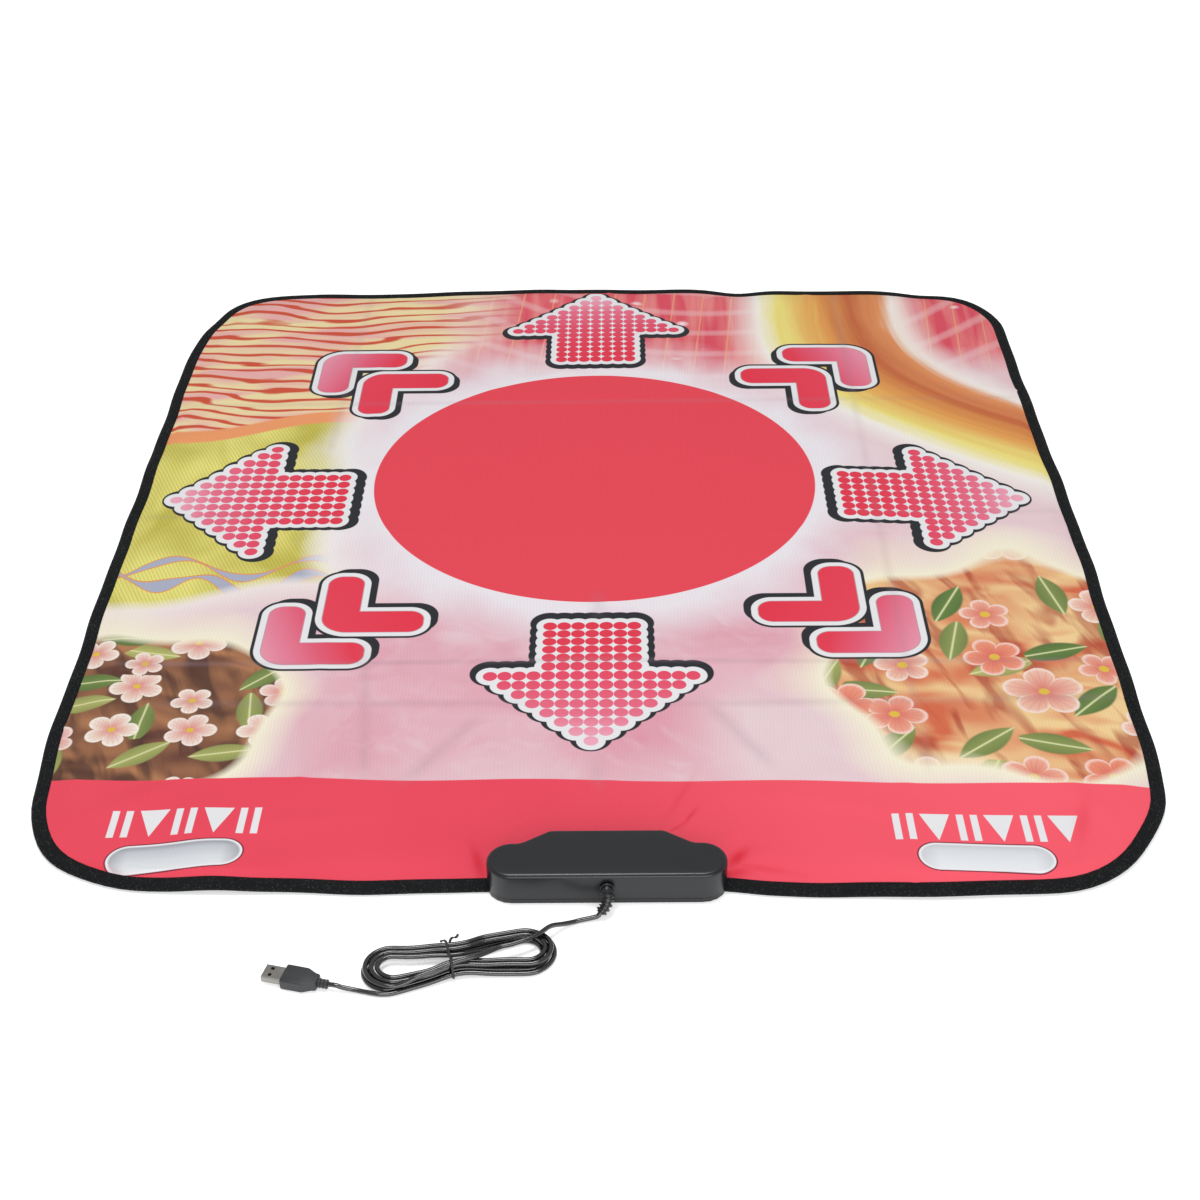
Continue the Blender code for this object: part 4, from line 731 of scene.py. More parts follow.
def bells(x, y, bumps):
    # the sum of bell-shaped bumps, each stretched along its heading
    high = np.zeros_like(x)
    for placeX, placeY, height, long, wide, heading in np.array(bumps) * bumpUnits:
        u, v = turned(x - placeX, y - placeY, heading)
        high = high + height * np.exp(-((u / long) ** 2) - (v / wide) ** 2)
    return high


def lift(x, y, sharp=False):
    # humps as bell curves, creases as narrow ones along the folds, ripples that grow
    # towards the edge, and nothing beside the control box
    high, inset = bells(x, y, humps), edgeInset(x, y)
    for along, *sizes in creases if sharp else ():
        place, height, wide = np.array(sizes) * mm
        one, other = (y, x) if along == "x" else (x, y)
        swing, deepness = (
            np.sin(other * wave + place * phase)
            for wave, phase in (laid["wanderWave"], laid["creaseWave"])
        )
        wander, fade = place + laid["wander"] * swing, 0.6 + 0.4 * deepness
        high = high + height * fade * np.exp(-(((one - wander) / wide) ** 2))
    near = 1 - smoothStep(inset, *laid["rippleFade"])
    ripple = 1.0
    for share, waveX, waveY, phase in laid["ripples"]:
        ripple = ripple + share * np.sin(x * waveX + y * waveY + phase)
    high = high + laid["ripple"] * near * ripple
    aside, behind = np.abs(x - box["x"]) - laid["boxHalf"], y - laid["boxBack"]
    fromBox = np.hypot(np.maximum(aside, 0), np.maximum(behind, 0))
    high = high * smoothStep(fromBox, *laid["boxFade"])
    return high + bells(x, y, pinches) * smoothStep(inset, *laid["pinchFade"]) if sharp else high


strays = [  # x, y, how far the edge runs out or in there, and its reach, in millimetres
    (335, 465, -16, 40), (138, 465, -2, 30), (-85, 465, 3.5, 60), (-313, 465, -2, 30),
    (-410, 368, -2.5, 40), (256, -465, 2, 40), (318, -465, 3.4, 40), (142, -465, 1.5, 50),
    (-142, -465, 1.8, 50), (407, -385, -3.4, 50), (-408, -385, -1.3, 50), (235, 465, -6.5, 60),
    (146, 465, -8, 26), (-225, 465, -5, 80), (-330, 465, -3.5, 40), (-405, 400, -9.5, 36),
    (-410, -230, -1.5, 100), (-405, -395, -7.5, 60), (-345, -462, -5, 50), (200, -465, 7.5, 105),
    (388, -430, -8, 55), (410, 0, 3.2, 200),
]


def strayed(points):
    # the mat isn't cut true: near the edge each point moves square to it by the nearest
    # strays, and less further in
    x, y = points[..., 0], points[..., 1]
    step = 0.0005
    wayX = edgeInset(x - step, y) - edgeInset(x + step, y)
    wayY = edgeInset(x, y - step) - edgeInset(x, y + step)
    amount = np.zeros_like(x)
    for placeX, placeY, out, reach in np.array(strays) * mm:
        far = np.hypot(x - placeX, y - placeY) / reach
        amount = amount + out * np.exp(-far * far)
    amount = amount * (1 - smoothStep(edgeInset(x, y), *laid["strayFade"]))
    hold = box["width"] / 2 - laid["narrower"] * (y > laid["behind"])  # half of what the box holds
    amount = amount * smoothStep(np.abs(x - box["x"]) - hold, *laid["strayBoxFade"]) / (2 * step)
    moved = points.copy()
    moved[..., 0] += wayX * amount
    moved[..., 1] += wayY * amount
    return moved


def cornerRun(inset, steps=14):
    # the outline inset all round, anticlockwise from the right side of the box to its left
    outline = roundedBox(
        mat["width"] - 2 * inset, mat["length"] - 2 * inset, mat["corner"] - inset, steps
    )
    right = len(outline) * 3 // 4
    return np.vstack((outline[right:], outline[:right]))


def clothOutline(inset):
    # the outline with the notch for the control box
    half, y, deep = mat["notchWidth"] / 2, frontEdge + inset, frontEdge + mat["notchDepth"]
    low, high = box["x"] - half, box["x"] + half
    notch = [(low, y), (low, deep), (high, deep), (high, y)]
    return np.vstack((cornerRun(inset), notch))


def ringsOf(triangles):
    # the closed loops of edges on a net's border, each with the net on its left
    edges = np.vstack((triangles[:, :2], triangles[:, 1:], triangles[:, [2, 0]]))
    known = set(map(tuple, edges.tolist()))
    after = {one: two for one, two in known if (two, one) not in known}
    rings = []
    while after:
        start = spot = next(iter(after))
        ring = []
        while spot in after:
            ring.append(spot)
            spot = after.pop(spot)
        rings.append(np.array(ring))
    return rings


def topOutline(nodeName):
    # the outline of the flat top of a solid: the border of its top faces
    mesh = frame["nodes"][nodeName].data
    spots = np.array([tuple(vert.co) for vert in mesh.vertices])
    faces = np.array([tuple(face.vertices) for face in mesh.polygons if face.normal.z >= 0.5])
    faces = faces[spots[faces][..., 2].min(1) >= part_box(nodeName)[1][2] - 0.0001]
    places, index = np.unique(np.round(spots[:, :2], 6), axis=0, return_inverse=True)
    return places[ringsOf(index.ravel()[faces])[0]]


def refined(outline, spacing):
    # the closed outline with points added along its long sides
    points = []
    for one, two in zip(outline, np.roll(outline, -1, axis=0)):
        count = max(1, round(float(np.linalg.norm(two - one)) / spacing))
        points.append(one + (two - one) * np.arange(count)[:, None] / count)
    return np.vstack(points)


def inside(points, outline):
    # whether an odd number of the outline's sides lie to the right of each point
    x, y = points[:, :1], points[:, 1:]
    ax, ay = outline[:, 0][None], outline[:, 1][None]
    bx, by = np.roll(outline[:, 0], -1)[None], np.roll(outline[:, 1], -1)[None]
    spans = (ay > y) != (by > y)
    run = np.where(by == ay, 1.0, by - ay)
    return (spans & (x < ax + (y - ay) / run * (bx - ax))).sum(1) % 2 == 1


def doubleArea(a, b, c):
    # twice the signed area of the triangles a, b, c
    return (b[:, 0] - a[:, 0]) * (c[:, 1] - a[:, 1]) - (b[:, 1] - a[:, 1]) * (c[:, 0] - a[:, 0])


def nearOutline(points, outline, reach):
    # whether each point lies within reach of it
    fine = refined(outline, reach)
    near = np.zeros(len(points), bool)
    for start in range(0, len(points), 4000):
        part = points[start:start + 4000]
        gaps = ((part[:, None] - fine[None]) ** 2).sum(-1).min(1)
        near[start:start + 4000] = gaps < reach * reach
    return near


netShares = {  # of a net's spacing: steps along its lines, and its points' least gap to them
    "hole": 0.7, "guide": 0.6, "guideGap": 0.4, "outlineGap": 0.35,
}


def plane(outer, holes, spacing, guides=()):
    # one flat net over the outline, whose edges follow every hole and whose points follow
    # each guide: its points, and the triangles of the rest and of each hole
    holeStep, guideStep, guideGap, outlineGap = (spacing * part for part in netShares.values())
    outlines = [refined(outer, spacing)] + [refined(hole, holeStep) for hole in holes]
    low, high = outer.min(0), outer.max(0)
    counts = np.round((high - low) / spacing).astype(int)
    gridX, gridY = np.meshgrid(*(np.linspace(low[k], high[k], counts[k]) for k in range(2)))
    gridX = gridX + spacing / 2 * (np.arange(len(gridX)) % 2)[:, None]
    grid = np.column_stack((gridX.ravel(), gridY.ravel()))
    grid = grid[inside(grid, outer)]
    for guide in guides:
        grid = np.vstack((grid[~nearOutline(grid, guide, guideGap)], refined(guide, guideStep)))
    for outline in outlines:
        grid = grid[~nearOutline(grid, outline, outlineGap)]
    points = np.vstack([*outlines, grid])
    starts = np.cumsum([0] + [len(outline) for outline in outlines])
    edges = []
    for start, outline in zip(starts, outlines):
        index = np.arange(len(outline))
        pairs = np.column_stack((index, (index + 1) % len(outline))) + start
        edges += [tuple(map(int, pair)) for pair in pairs]
    vectors = [Vector(point) for point in points.tolist()]
    net, _, triangles, *_ = delaunay_2d_cdt(vectors, edges, [], 0, 1e-7)
    net, triangles = np.array([tuple(point) for point in net]), np.array(triangles)
    middle = net[triangles].mean(1)
    flipped = doubleArea(*net[triangles.T]) < 0
    triangles[flipped] = triangles[flipped][:, ::-1]
    region = np.where(inside(middle, outer), 0, -1)
    for index, hole in enumerate(holes):
        region[inside(middle, hole)] = index + 1
    parts = [triangles[region == index] for index in range(len(holes) + 1)]
    return net, parts


def clothShell(net, triangles, heightOf, thickness, holeRim=0.0, rimGap=0.0, inset=0.0):
    # a closed thin shell over the net: its top, its underside, and a wall along each
    # border; the border of a hole turns down by holeRim first, and the underside's border
    # stands off by rimGap
    used = np.unique(triangles)
    place = np.full(len(net), -1)
    place[used] = np.arange(len(used))
    flat, faces = net[used], place[triangles]
    top = np.column_stack((flat, heightOf(flat[:, 0], flat[:, 1])))
    under = top - (0, 0, thickness)
    count = len(used)
    points, quads = [top, under], []
    extra = 2 * count
    for ring in ringsOf(faces):
        after = np.roll(np.arange(len(ring)), -1)
        here = flat[ring]
        isHole = doubleArea(0 * here, here, here[after]).sum() < 0 and holeRim > 0
        away = rightOf(unit(here[after] - np.roll(here, 1, axis=0)))  # from the net
        shift = -away * (rimGap if isHole else inset)
        under[ring, :2] += shift
        rows = [ring]
        if isHole:
            for offset in (0.45, 1.0):
                rim = top[ring] - (0, 0, holeRim)
                rim[:, :2] += shift * offset
                points.append(rim)
                rows.append(np.arange(len(ring)) + extra)
                extra += len(ring)
        rows.append(ring + count)
        for one, two in zip(rows, rows[1:]):
            quads.append(np.column_stack((one, two, two[after], one[after])))
    listed = faces.tolist() + (faces[:, ::-1] + count).tolist()
    for quad in quads:
        listed += quad.tolist()
    return strayed(np.vstack(points)), listed


cloth = {
    "net": 0.0068, "rimDepth": 0.0034, "rimGap": 0.0003, "hem": 0.0045, "seamDrop": 0.0021,
    "guides": (0.0118, 0.0172, 0.0235), "zoneInset": 0.00006, "backingNet": 0.011,
    "backingRise": 0.0008, "backingFade": (0.0138, 0.0158), "layerStep": 0.020,
}
seam = {  # the squeeze under the binding: insets of its two ends, and how much closer they
    # come beside the ovals, the arrows' tips and the arrows' sides, which lie there
    "all": 0.0105, "none": 0.0330, "allCloser": 0.0018, "noneCloser": 0.0160,
    "ovals": (0.280, 0.055, 0.090, -0.3), "tips": (0.080, 0.120, 0.4),
    "sides": (0.075, 0.110, 0.150),
}
zoneNames = [name for name in frame["bodies"] if name != "mat"]


def pressed(x, y):
    # how far the seam under the binding squeezes the mat: all of it there and none further
    # in, with a steeper slope beside the ovals and the arrows' tips
    middle, low, high, front = seam["ovals"]
    steep = (1 - smoothStep(np.abs(np.abs(x) - middle), low, high)) * (y < front)
    low, high, back = seam["tips"]
    steep = np.maximum(steep, (1 - smoothStep(np.abs(x), low, high)) * (y > back))
    middle, low, high = seam["sides"]
    steep = np.maximum(steep, 1 - smoothStep(np.abs(y - middle), low, high))
    near = seam["all"] + seam["allCloser"] * steep
    return 1 - smoothStep(edgeInset(x, y), near, seam["none"] - seam["noneCloser"] * steep)


def coverHeight(x, y):
    # flat on the foam, then down to the seam under the binding
    return mat["coverTop"] - cloth["seamDrop"] * pressed(x, y) + lift(x, y, True)


def makeCloth(material):
    # one net for the cover and the zones' cloths, so that they meet point by point
    holes = [topOutline("zone_" + name) for name in zoneNames]
    guides = [clothOutline(inset) for inset in cloth["guides"]]
    net, parts = plane(clothOutline(cloth["hem"]), holes, cloth["net"], guides)
    points, faces = clothShell(
        net, parts[0], coverHeight, mat["cloth"], cloth["rimDepth"], cloth["rimGap"]
    )
    made = piece("cover", points, faces, material)
    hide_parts("top_cover")
    for name, triangles in zip(zoneNames, parts[1:]):
        points, faces = clothShell(
            net, triangles, coverHeight, mat["cloth"], inset=cloth["zoneInset"]
        )
        made = piece(name + "Cloth", points, faces, material, name)
        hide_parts("zone_" + name)


def backingHeight(x, y):
    # on the floor, then up over the binding's lower edge
    rise = 1 - smoothStep(edgeInset(x, y), *cloth["backingFade"])
    return mat["backing"] + cloth["backingRise"] * rise + lift(x, y)


def makeBacking(material):
    # the same shell on the floor, without holes
    net, parts = plane(clothOutline(cloth["hem"]), [], cloth["backingNet"])
    points, faces = clothShell(net, parts[0], backingHeight, mat["backing"])
    made = piece("backing", points, faces, material)
    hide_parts("bottom_sheet")


def liftedCopy(nodeName, body, material):
    # the flat solid cut along a grid, with each point moved up by the lift
    mesh = bmesh.new()
    mesh.from_mesh(frame["nodes"][nodeName].data)
    bmesh.ops.remove_doubles(mesh, verts=mesh.verts, dist=1e-6)
    low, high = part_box(nodeName)
    for axis in range(2):
        count = int((high[axis] - low[axis]) / cloth["layerStep"]) + 1
        normal = (1, 0, 0) if axis == 0 else (0, 1, 0)
        for index in range(1, count):
            place = low[axis] + (high[axis] - low[axis]) * index / count
            parts = mesh.verts[:] + mesh.edges[:] + mesh.faces[:]
            spot = (place, 0, 0) if axis == 0 else (0, place, 0)
            bmesh.ops.bisect_plane(mesh, geom=parts, plane_co=spot, plane_no=normal, dist=1e-6)
    mesh.verts.index_update()
    points = np.array([tuple(vert.co) for vert in mesh.verts])
    x, y = points[:, 0], points[:, 1]
    squeeze = cloth["seamDrop"] / (mat["coverTop"] - mat["backing"])
    points[:, 2] += lift(x, y) - pressed(x, y) * squeeze * (points[:, 2] - mat["backing"])
    faces = [[vert.index for vert in face.verts] for face in mesh.faces]
    mesh.free()
    made = piece(nodeName + "Laid", strayed(points), faces, material, body)
    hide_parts(nodeName)


# The binding: a tape folded round the edge, from one side of the control box to the other

binding = {
    "spacing": 0.0040, "clearance": 0.0003, "wobble": 0.0007, "calmFade": (0.03, 0.12),
    "sways": [(0.6, 47.0, 0.0), (0.4, 83.0, 1.0)],
    "section": [  # inset from the edge and height, in millimetres, all round the tape
        (11.0, 3.85), (10.9, 4.30), (10.3, 4.50), (7.0, 4.75), (4.0, 4.70), (2.0, 4.35),
        (0.8, 3.75), (0.1, 3.00), (0.0, 2.30), (0.15, 1.40), (0.8, 0.60), (2.2, 0.12),
        (4.0, 0.0), (11.4, 0.0), (12.0, 0.10), (12.0, 0.50), (4.0, 0.50), (2.4, 0.75),
        (1.3, 1.20), (0.65, 2.00), (0.6, 2.90), (1.2, 3.55), (2.4, 3.95), (4.2, 4.10),
        (7.0, 4.10), (10.4, 3.85),
    ],
}


def makeBinding(material):
    # the tape's section carried round the edge, with a slight sway of its own
    half = mat["notchWidth"] / 2 - binding["clearance"]
    run = np.vstack(
        ((box["x"] + half, frontEdge), cornerRun(0.0), (box["x"] - half, frontEdge))
    )
    line = respaced(run, binding["spacing"])
    path = atHeight(line, 0.0)
    section = np.array(binding["section"]) * (-mm, mm)
    rings = carried(path, section)
    along = lengthsAlong(path)
    calm = smoothStep(np.minimum(along, along[-1] - along), *binding["calmFade"])
    sway = sum(share * np.sin(along * wave + phase) for share, wave, phase in binding["sways"])
    way = unit(np.gradient(path, axis=0))
    outwards = atHeight(rightOf(way), 0.0)
    rings = rings + (outwards * (sway * calm * binding["wobble"])[:, None])[:, None]
    rings[..., 2] += lift(rings[..., 0], rings[..., 1])
    points, faces = lofted(strayed(rings))
    made = piece("binding", points, faces, material)
    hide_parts("edge_binding")


# The print, laid out in millimetres on the flat mat

disc = {"x": -3.3, "y": 72.2, "radius": 196.3, "halo": 44.0}
arrowPrint = {  # tip, pitch of the dots' rows, pitch along a row, slant of the rows
    "left": (-371.7, 40.6, 11.16, 12.18, 0.0), "right": (366.9, 33.0, 11.40, 10.83, 0.07),
    "front": (-3.9, -306.7, 11.39, 11.19, 0.0), "back": (-3.4, 438.5, 10.47, 11.23, 0.0),
}
arrowLook = {
    "dot": 5.55, "white": 10.9, "dark": 16.0, "shadow": 3.5, "lastRow": 13, "wingRow": 7,
    "stemReach": 3, "middle": 45,
}
chevronPrint = {  # the outer elbow's corner
    "frontLeft": (-270.7, -213.9), "frontRight": (261.1, -203.2), "backLeft": (-277.6, 325.0),
    "backRight": (269.2, 329.5),
}
chevronLook = {
    "armX": 93.4, "armY": 91.9, "band": 40.8, "offset": 43.5, "end": 17.5, "elbow": 27.0,
    "white": 5.2, "line": 2.7, "shadow": 5.2, "shadowGrowth": 0.8, "middle": 50,
}
band = {"y": -352.3, "slope": -0.0100, "droop": 0.0160, "wave": 1.4}
oval = {  # the two middles, how fast each rises towards +x, and half its length and width
    "left": (-289.5, -433.0, 0.075), "right": (267.3, -439.5, -0.035), "halfLength": 46.5,
    "halfWidth": 14.0,
}
signs = [  # left end, middle height, how fast it rises, count, pitch, size of a row of signs
    (-345.0, -398.5, 0.03, 5, 22.6, 28.0), (203.5, -406.5, -0.02, 6, 22.4, 28.0),
]
ribs = {"pitch": 2.7, "depth": 0.05}
white, dark = (230, 230, 233), (44, 46, 50)


def between(share, low, high):
    # low where the share is 0 and high where it is 1
    return share * (high - low) + low


def dotField(along, across, rowPitch, pitch, steps):
    # the least distance to a dot's middle, over the rows next to the place: a row reaches as
    # many dots to each side as its number, up to the wings, and three in the stem
    row, column = along / rowPitch, across / pitch
    nearRow, nearColumn = row.nearest(), column.nearest()
    best = None
    for step in steps:
        line = (nearRow + step).most(0).least(arrowLook["lastRow"])
        reach = line - (line - arrowLook["stemReach"]) * line.over(arrowLook["wingRow"] + 0.5)
        spot = nearColumn.least(reach).most(reach * -1)
        field = ((row - line) * rowPitch) ** 2 + ((column - spot) * pitch) ** 2
        best = field if best is None else best.least(field)
    return best ** 0.5


def drawArrows(m, x, y, under):
    # one arrow is worked out, the one whose quarter of the mat the place is in
    left, right, front, back = (arrowPrint[key] for key in ("left", "right", "front", "back"))
    middle = arrowLook["middle"]
    side = abs(x).over(abs(y - middle))
    isRight, isBack = x.over(0), y.over(middle)
    alongSide = between(isRight, x - left[0], right[0] - x)
    alongEnd = between(isBack, y - front[1], back[1] - y)
    along = between(side, alongEnd, alongSide)
    acrossSide = y - between(isRight, left[1], right[1]) - alongSide * isRight * right[4]
    acrossEnd = x - between(isBack, front[0], back[0])
    across = between(side, acrossEnd, acrossSide)
    pitches = [
        between(side, between(isBack, front[k], back[k]), between(isRight, left[k], right[k]))
        for k in (2, 3)
    ]
    field = dotField(along, across, *pitches, (-1, 0, 1))
    shadow = dotField(along - arrowLook["shadow"], across, *pitches, (-2, -1, 0, 1, 2))
    share = along / pitches[0] / arrowLook["lastRow"]
    dots = m.ramp(
        share, (0.0, (236, 168, 188)), (0.22, (229, 112, 138)), (0.5, (226, 80, 106)),
        (0.8, (225, 62, 84)), (1.0, (224, 58, 80)),
    )
    return m.painted(
        under, (shadow.below(arrowLook["dark"], 0.7), dark),
        (field.below(arrowLook["white"], 0.6), white), (field.below(arrowLook["dot"], 0.5), dots),
    )


def roundBar(m, x, y, width, height, radius):
    # how far outside a round-cornered bar from (0, 0) to (width, height)
    overX = abs(x - width / 2) - (width / 2 - radius)
    overY = abs(y - height / 2) - (height / 2 - radius)
    outside = m.distance(overX.most(0), overY.most(0))
    return outside + overX.most(overY).least(0) - radius


def chevronField(m, x, y):
    # two bars that share a round corner
    look = chevronLook
    level = roundBar(m, x, y, look["armX"], look["band"], look["end"])
    upright = roundBar(m, x, y, look["band"], look["armY"], look["end"])
    elbow = look["elbow"]
    corner = m.distance((elbow - x).most(0), (elbow - y).most(0)) - elbow
    return level.least(upright).most(corner)


def drawChevrons(m, x, y, under):
    # the quarters are folded onto one, whose x and y run from the outer corner inwards
    keys = ("frontLeft", "frontRight", "backLeft", "backRight")
    one, two, three, four = (chevronPrint[key] for key in keys)
    isRight, isBack = x.over(0), y.over(chevronLook["middle"])
    spotX = between(isBack, between(isRight, -one[0], two[0]), between(isRight, -three[0], four[0]))
    inX = spotX - abs(x)
    frontIn, backIn = y - between(isRight, one[1], two[1]), between(isRight, three[1], four[1]) - y
    inY = between(isBack, frontIn, backIn)
    look, colour = chevronLook, under
    for index in range(2):
        atX, atY = inX - index * look["offset"], inY - index * look["offset"]
        field = chevronField(m, atX, atY)
        shadow = chevronField(m, atX - look["shadow"], atY - look["shadow"])
        edge = (field - look["line"]).least(shadow - look["shadowGrowth"])
        fade = (atX * 1.25 + atY * 0.45) / (look["armX"] * 1.25)
        red = m.ramp(
            fade, (0.05, (230, 158, 178)), (0.32, (227, 130, 154)),
            (0.62, (224, 94, 120)), (0.92, (226, 62, 82)),
        )
        if index:
            red = m.mixed(fade, (228, 70, 90), (226, 56, 76))
        colour = m.painted(
            colour, (edge.below(0, 0.7), dark), (field.below(0, 0.6), white),
            (field.below(-look["white"], 0.6), (186, 150, 160)),
            (field.below(-look["white"] - 0.7, 0.5), red),
        )
    return colour


def scatter(m, scale, randomness=0.75):
    # one spot in each cell of a loose grid: the place from it, turned at random, in cells,
    # and two random numbers of its own
    settings = {"feature": "F1", "voronoi_dimensions": "2D"}
    sockets = {"Vector": m.place, "Scale": scale, "Randomness": randomness}
    cell = m.add("TexVoronoi", settings, sockets)
    spot, tint = cell.output("Position"), cell.output("Color")
    away = m.add("VectorMath", {"operation": "SUBTRACT"}, {0: m.place, 1: spot})
    chance = [m.add("SeparateColor", {}, {0: tint}, k) for k in range(3)]
    dx, dy = (part * scale for part in m.parts(away, 2))
    angle = m.math("ARCTAN2", dy, dx) + chance[0] * 6.283
    return m.distance(dx, dy), angle, chance


def drawLeaves(m, under, scale):
    # pointed leaves with a pale rib
    reach, angle, chance = scatter(m, scale)
    along, across = reach * angle.cosine(), abs(reach * angle.sine())
    wide = 0.17 - (along ** 2) * 0.9
    green = m.painted(
        (96, 128, 66), (chance[1], (186, 186, 110)), (across.below(0.012, 0.02), (222, 222, 170)),
        ((across / 0.17).above(0.5, 1.0) * 0.35, (52, 66, 44)),
    )
    return m.mixed((across - wide).below(0, 0.03), under, green)


def drawFlowers(m, under, scale, low, high):
    # five round petals, deeper towards the middle, with fine veins and a yellow eye
    reach, angle, chance = scatter(m, scale, 0.62)
    lobe = abs((angle * 2.5).cosine())
    edge = (lobe ** 0.55 * 0.17 + 0.21) * (chance[1] * 0.4 + 0.72)
    vein = abs((angle * 12.5).sine())
    petal = m.painted(
        low, (chance[2], high), ((reach / edge).below(0.55, 0.9) * 0.75, (214, 84, 80)),
        (vein.below(0.25, 0.5) * 0.25, (196, 96, 96)),
        ((reach - edge).above(-0.035, 0.04) * 0.55, (250, 240, 236)),
        (reach.below(0.055, 0.02), (226, 190, 70)),
    )
    return m.mixed((reach - edge).below(0, 0.02), under, petal)


def skyColour(m, x, y):
    # rose streaks with pale arcs, fine threads and soft lights between the arcs
    fan = m.distance(x - 110, y - 640)
    arcs = fan.wave(46.0, 0.6)
    lights = m.cells(26.0).below(0.12, 0.16) * arcs.below(0.2, 0.6)
    return m.painted(
        (221, 80, 98), (m.streaks(x / 16, y / 190, 0.4).above(0.52, 0.25), (232, 132, 132)),
        (arcs.above(0.75, 0.5) * 0.45, (238, 190, 194)),
        ((x * 0.21 + fan * 0.02).sine().above(0.985, 0.02) * 0.6, (240, 170, 120)),
        (lights, (250, 232, 232)),
    )


def stripeColour(m, x, y):
    # wavy rows of rust and rose on a pale cloth
    brush = m.streaks(x / 130, y / 34, 0.3)
    sway = (x * 0.021 + 0.8).sine() * 9 + (x * 0.047 + y * 0.02).sine() * 4
    row = (y + sway + (brush - 0.5) * 34).wave(17.5)
    return m.painted(
        (234, 176, 172), (brush.above(0.5, 0.16), (238, 220, 168)),
        (row.above(0.9, 1.0) * 0.35, (226, 140, 128)),
        ((row - brush * 1.5).above(-0.22, 0.5), (208, 84, 58)),
    )


def curlColour(m, x, y, leftwards):
    # a ribbed yellow cloth with two bands of curls across it
    curl = y + 92 - (x * 0.072).sine() * 13 - (x * 0.031 + 1.2).sine() * 9
    curl = abs(curl) - 5 - (x * 0.11 + y * 0.03).sine() * 4
    second = abs(y + 70 - (x * 0.055 + 2.0).sine() * 15) - 2.5
    curl = curl.least(second + (x * 0.09).sine() * 2.5)
    fold = m.streaks(leftwards / 60, y / 130, 0.6)
    return m.painted(
        (200, 190, 84), (fold.above(0.5, 0.3), (236, 228, 128)),
        ((y * 0.45 + x).wave(3.3).above(0.2, 1.0) * 0.28, (150, 140, 66)),
        (curl.below(1.6, 0.8), (226, 148, 84)), (curl.below(0, 0.8), (172, 176, 196)),
    )


def drawCloths(m, x, y, fromDisc, under):
    # on the left, the yellow cloth below and the striped one above, in a pale glow
    bend = (y * 0.0118 + 0.7).sine() * 30 + (y * 0.031).sine() * 7
    leftwards, leftSide = fromDisc + bend, x.below(-120, 90)
    level = y + leftwards * 0.16 + (x * 0.03).sine() * 10
    cloths = m.painted(
        curlColour(m, x, y, leftwards), (level.above(214, 3), (238, 156, 104)),
        (level.above(236, 4), stripeColour(m, x, y)),
    )
    return m.painted(
        under,
        (leftSide * leftwards.above(240, 30) * level.above(-66, 40), (244, 238, 232)),
        (leftSide * leftwards.above(262, 26) * level.above(-52, 14), cloths),
    )


def drawRibbon(m, x, y, under):
    # on the right, a broad ribbon curving round the corner, in a pale glow
    ribbon = m.distance(x - 640, y - 470) + (y * 0.017).sine() * 12
    sheen = m.streaks(ribbon / 14, y / 170, 0.6, 3.0)
    rust = m.ramp(
        ribbon / 150 - 2.3 + (sheen - 0.5) * 0.25, (0.02, (244, 236, 226)),
        (0.12, (224, 146, 92)), (0.32, (196, 104, 62)), (0.55, (228, 160, 84)),
        (0.80, (238, 224, 128)), (0.98, (244, 240, 226)),
    )
    aside, rightSide = abs(ribbon - 420), x.above(120, 30)
    return m.painted(
        under, (aside.below(84, 36) * rightSide, (244, 240, 234)),
        (aside.below(68, 12) * rightSide, rust),
    )


gardens = [  # flower beds in the front corners; leaves and flowers to the metre
    {
        "middle": (-352, -262), "reach": (118, 104), "leaves": 17.0, "flowers": 19.0,
        "ground": ((104, 66, 54), (184, 128, 88), (60, 40, 38)),
        "petals": ((244, 240, 224), (236, 206, 196)),
    },
    {
        "middle": (330, -205), "reach": (162, 150), "leaves": 15.0, "flowers": 13.5,
        "ground": ((214, 108, 74), (242, 208, 150), (170, 58, 44)),
        "petals": ((240, 150, 116), (244, 226, 206)),
    },
]


def drawGarden(m, x, y, garden, under):
    # flowers over leaves over streaked earth, in a wavy oval with a pale glow
    (atX, atY), (reachX, reachY) = garden["middle"], garden["reach"]
    low, high, deep = garden["ground"]
    wobble = (x * 0.05).sine() * 8 + (y * 0.06).sine() * 7
    shape = m.distance((x - atX) / reachX, (y - atY) / reachY) * 120 + wobble
    swirls = m.streaks(x / 70 + y / 130, y / 44, 1.2, 1.0, 0.4)
    wisps = m.streaks(x / 22 + y / 60, y / 90 - x / 160, 0.6)
    bed = m.painted(low, (swirls.above(0.5, 0.4), high), (wisps.above(0.56, 0.14) * 0.7, deep))
    bed = drawLeaves(m, bed, garden["leaves"])
    bed = drawFlowers(m, bed, garden["flowers"], *garden["petals"])
    return m.painted(under, (shape.below(132, 34), (246, 240, 214)), (shape.below(112, 10), bed))


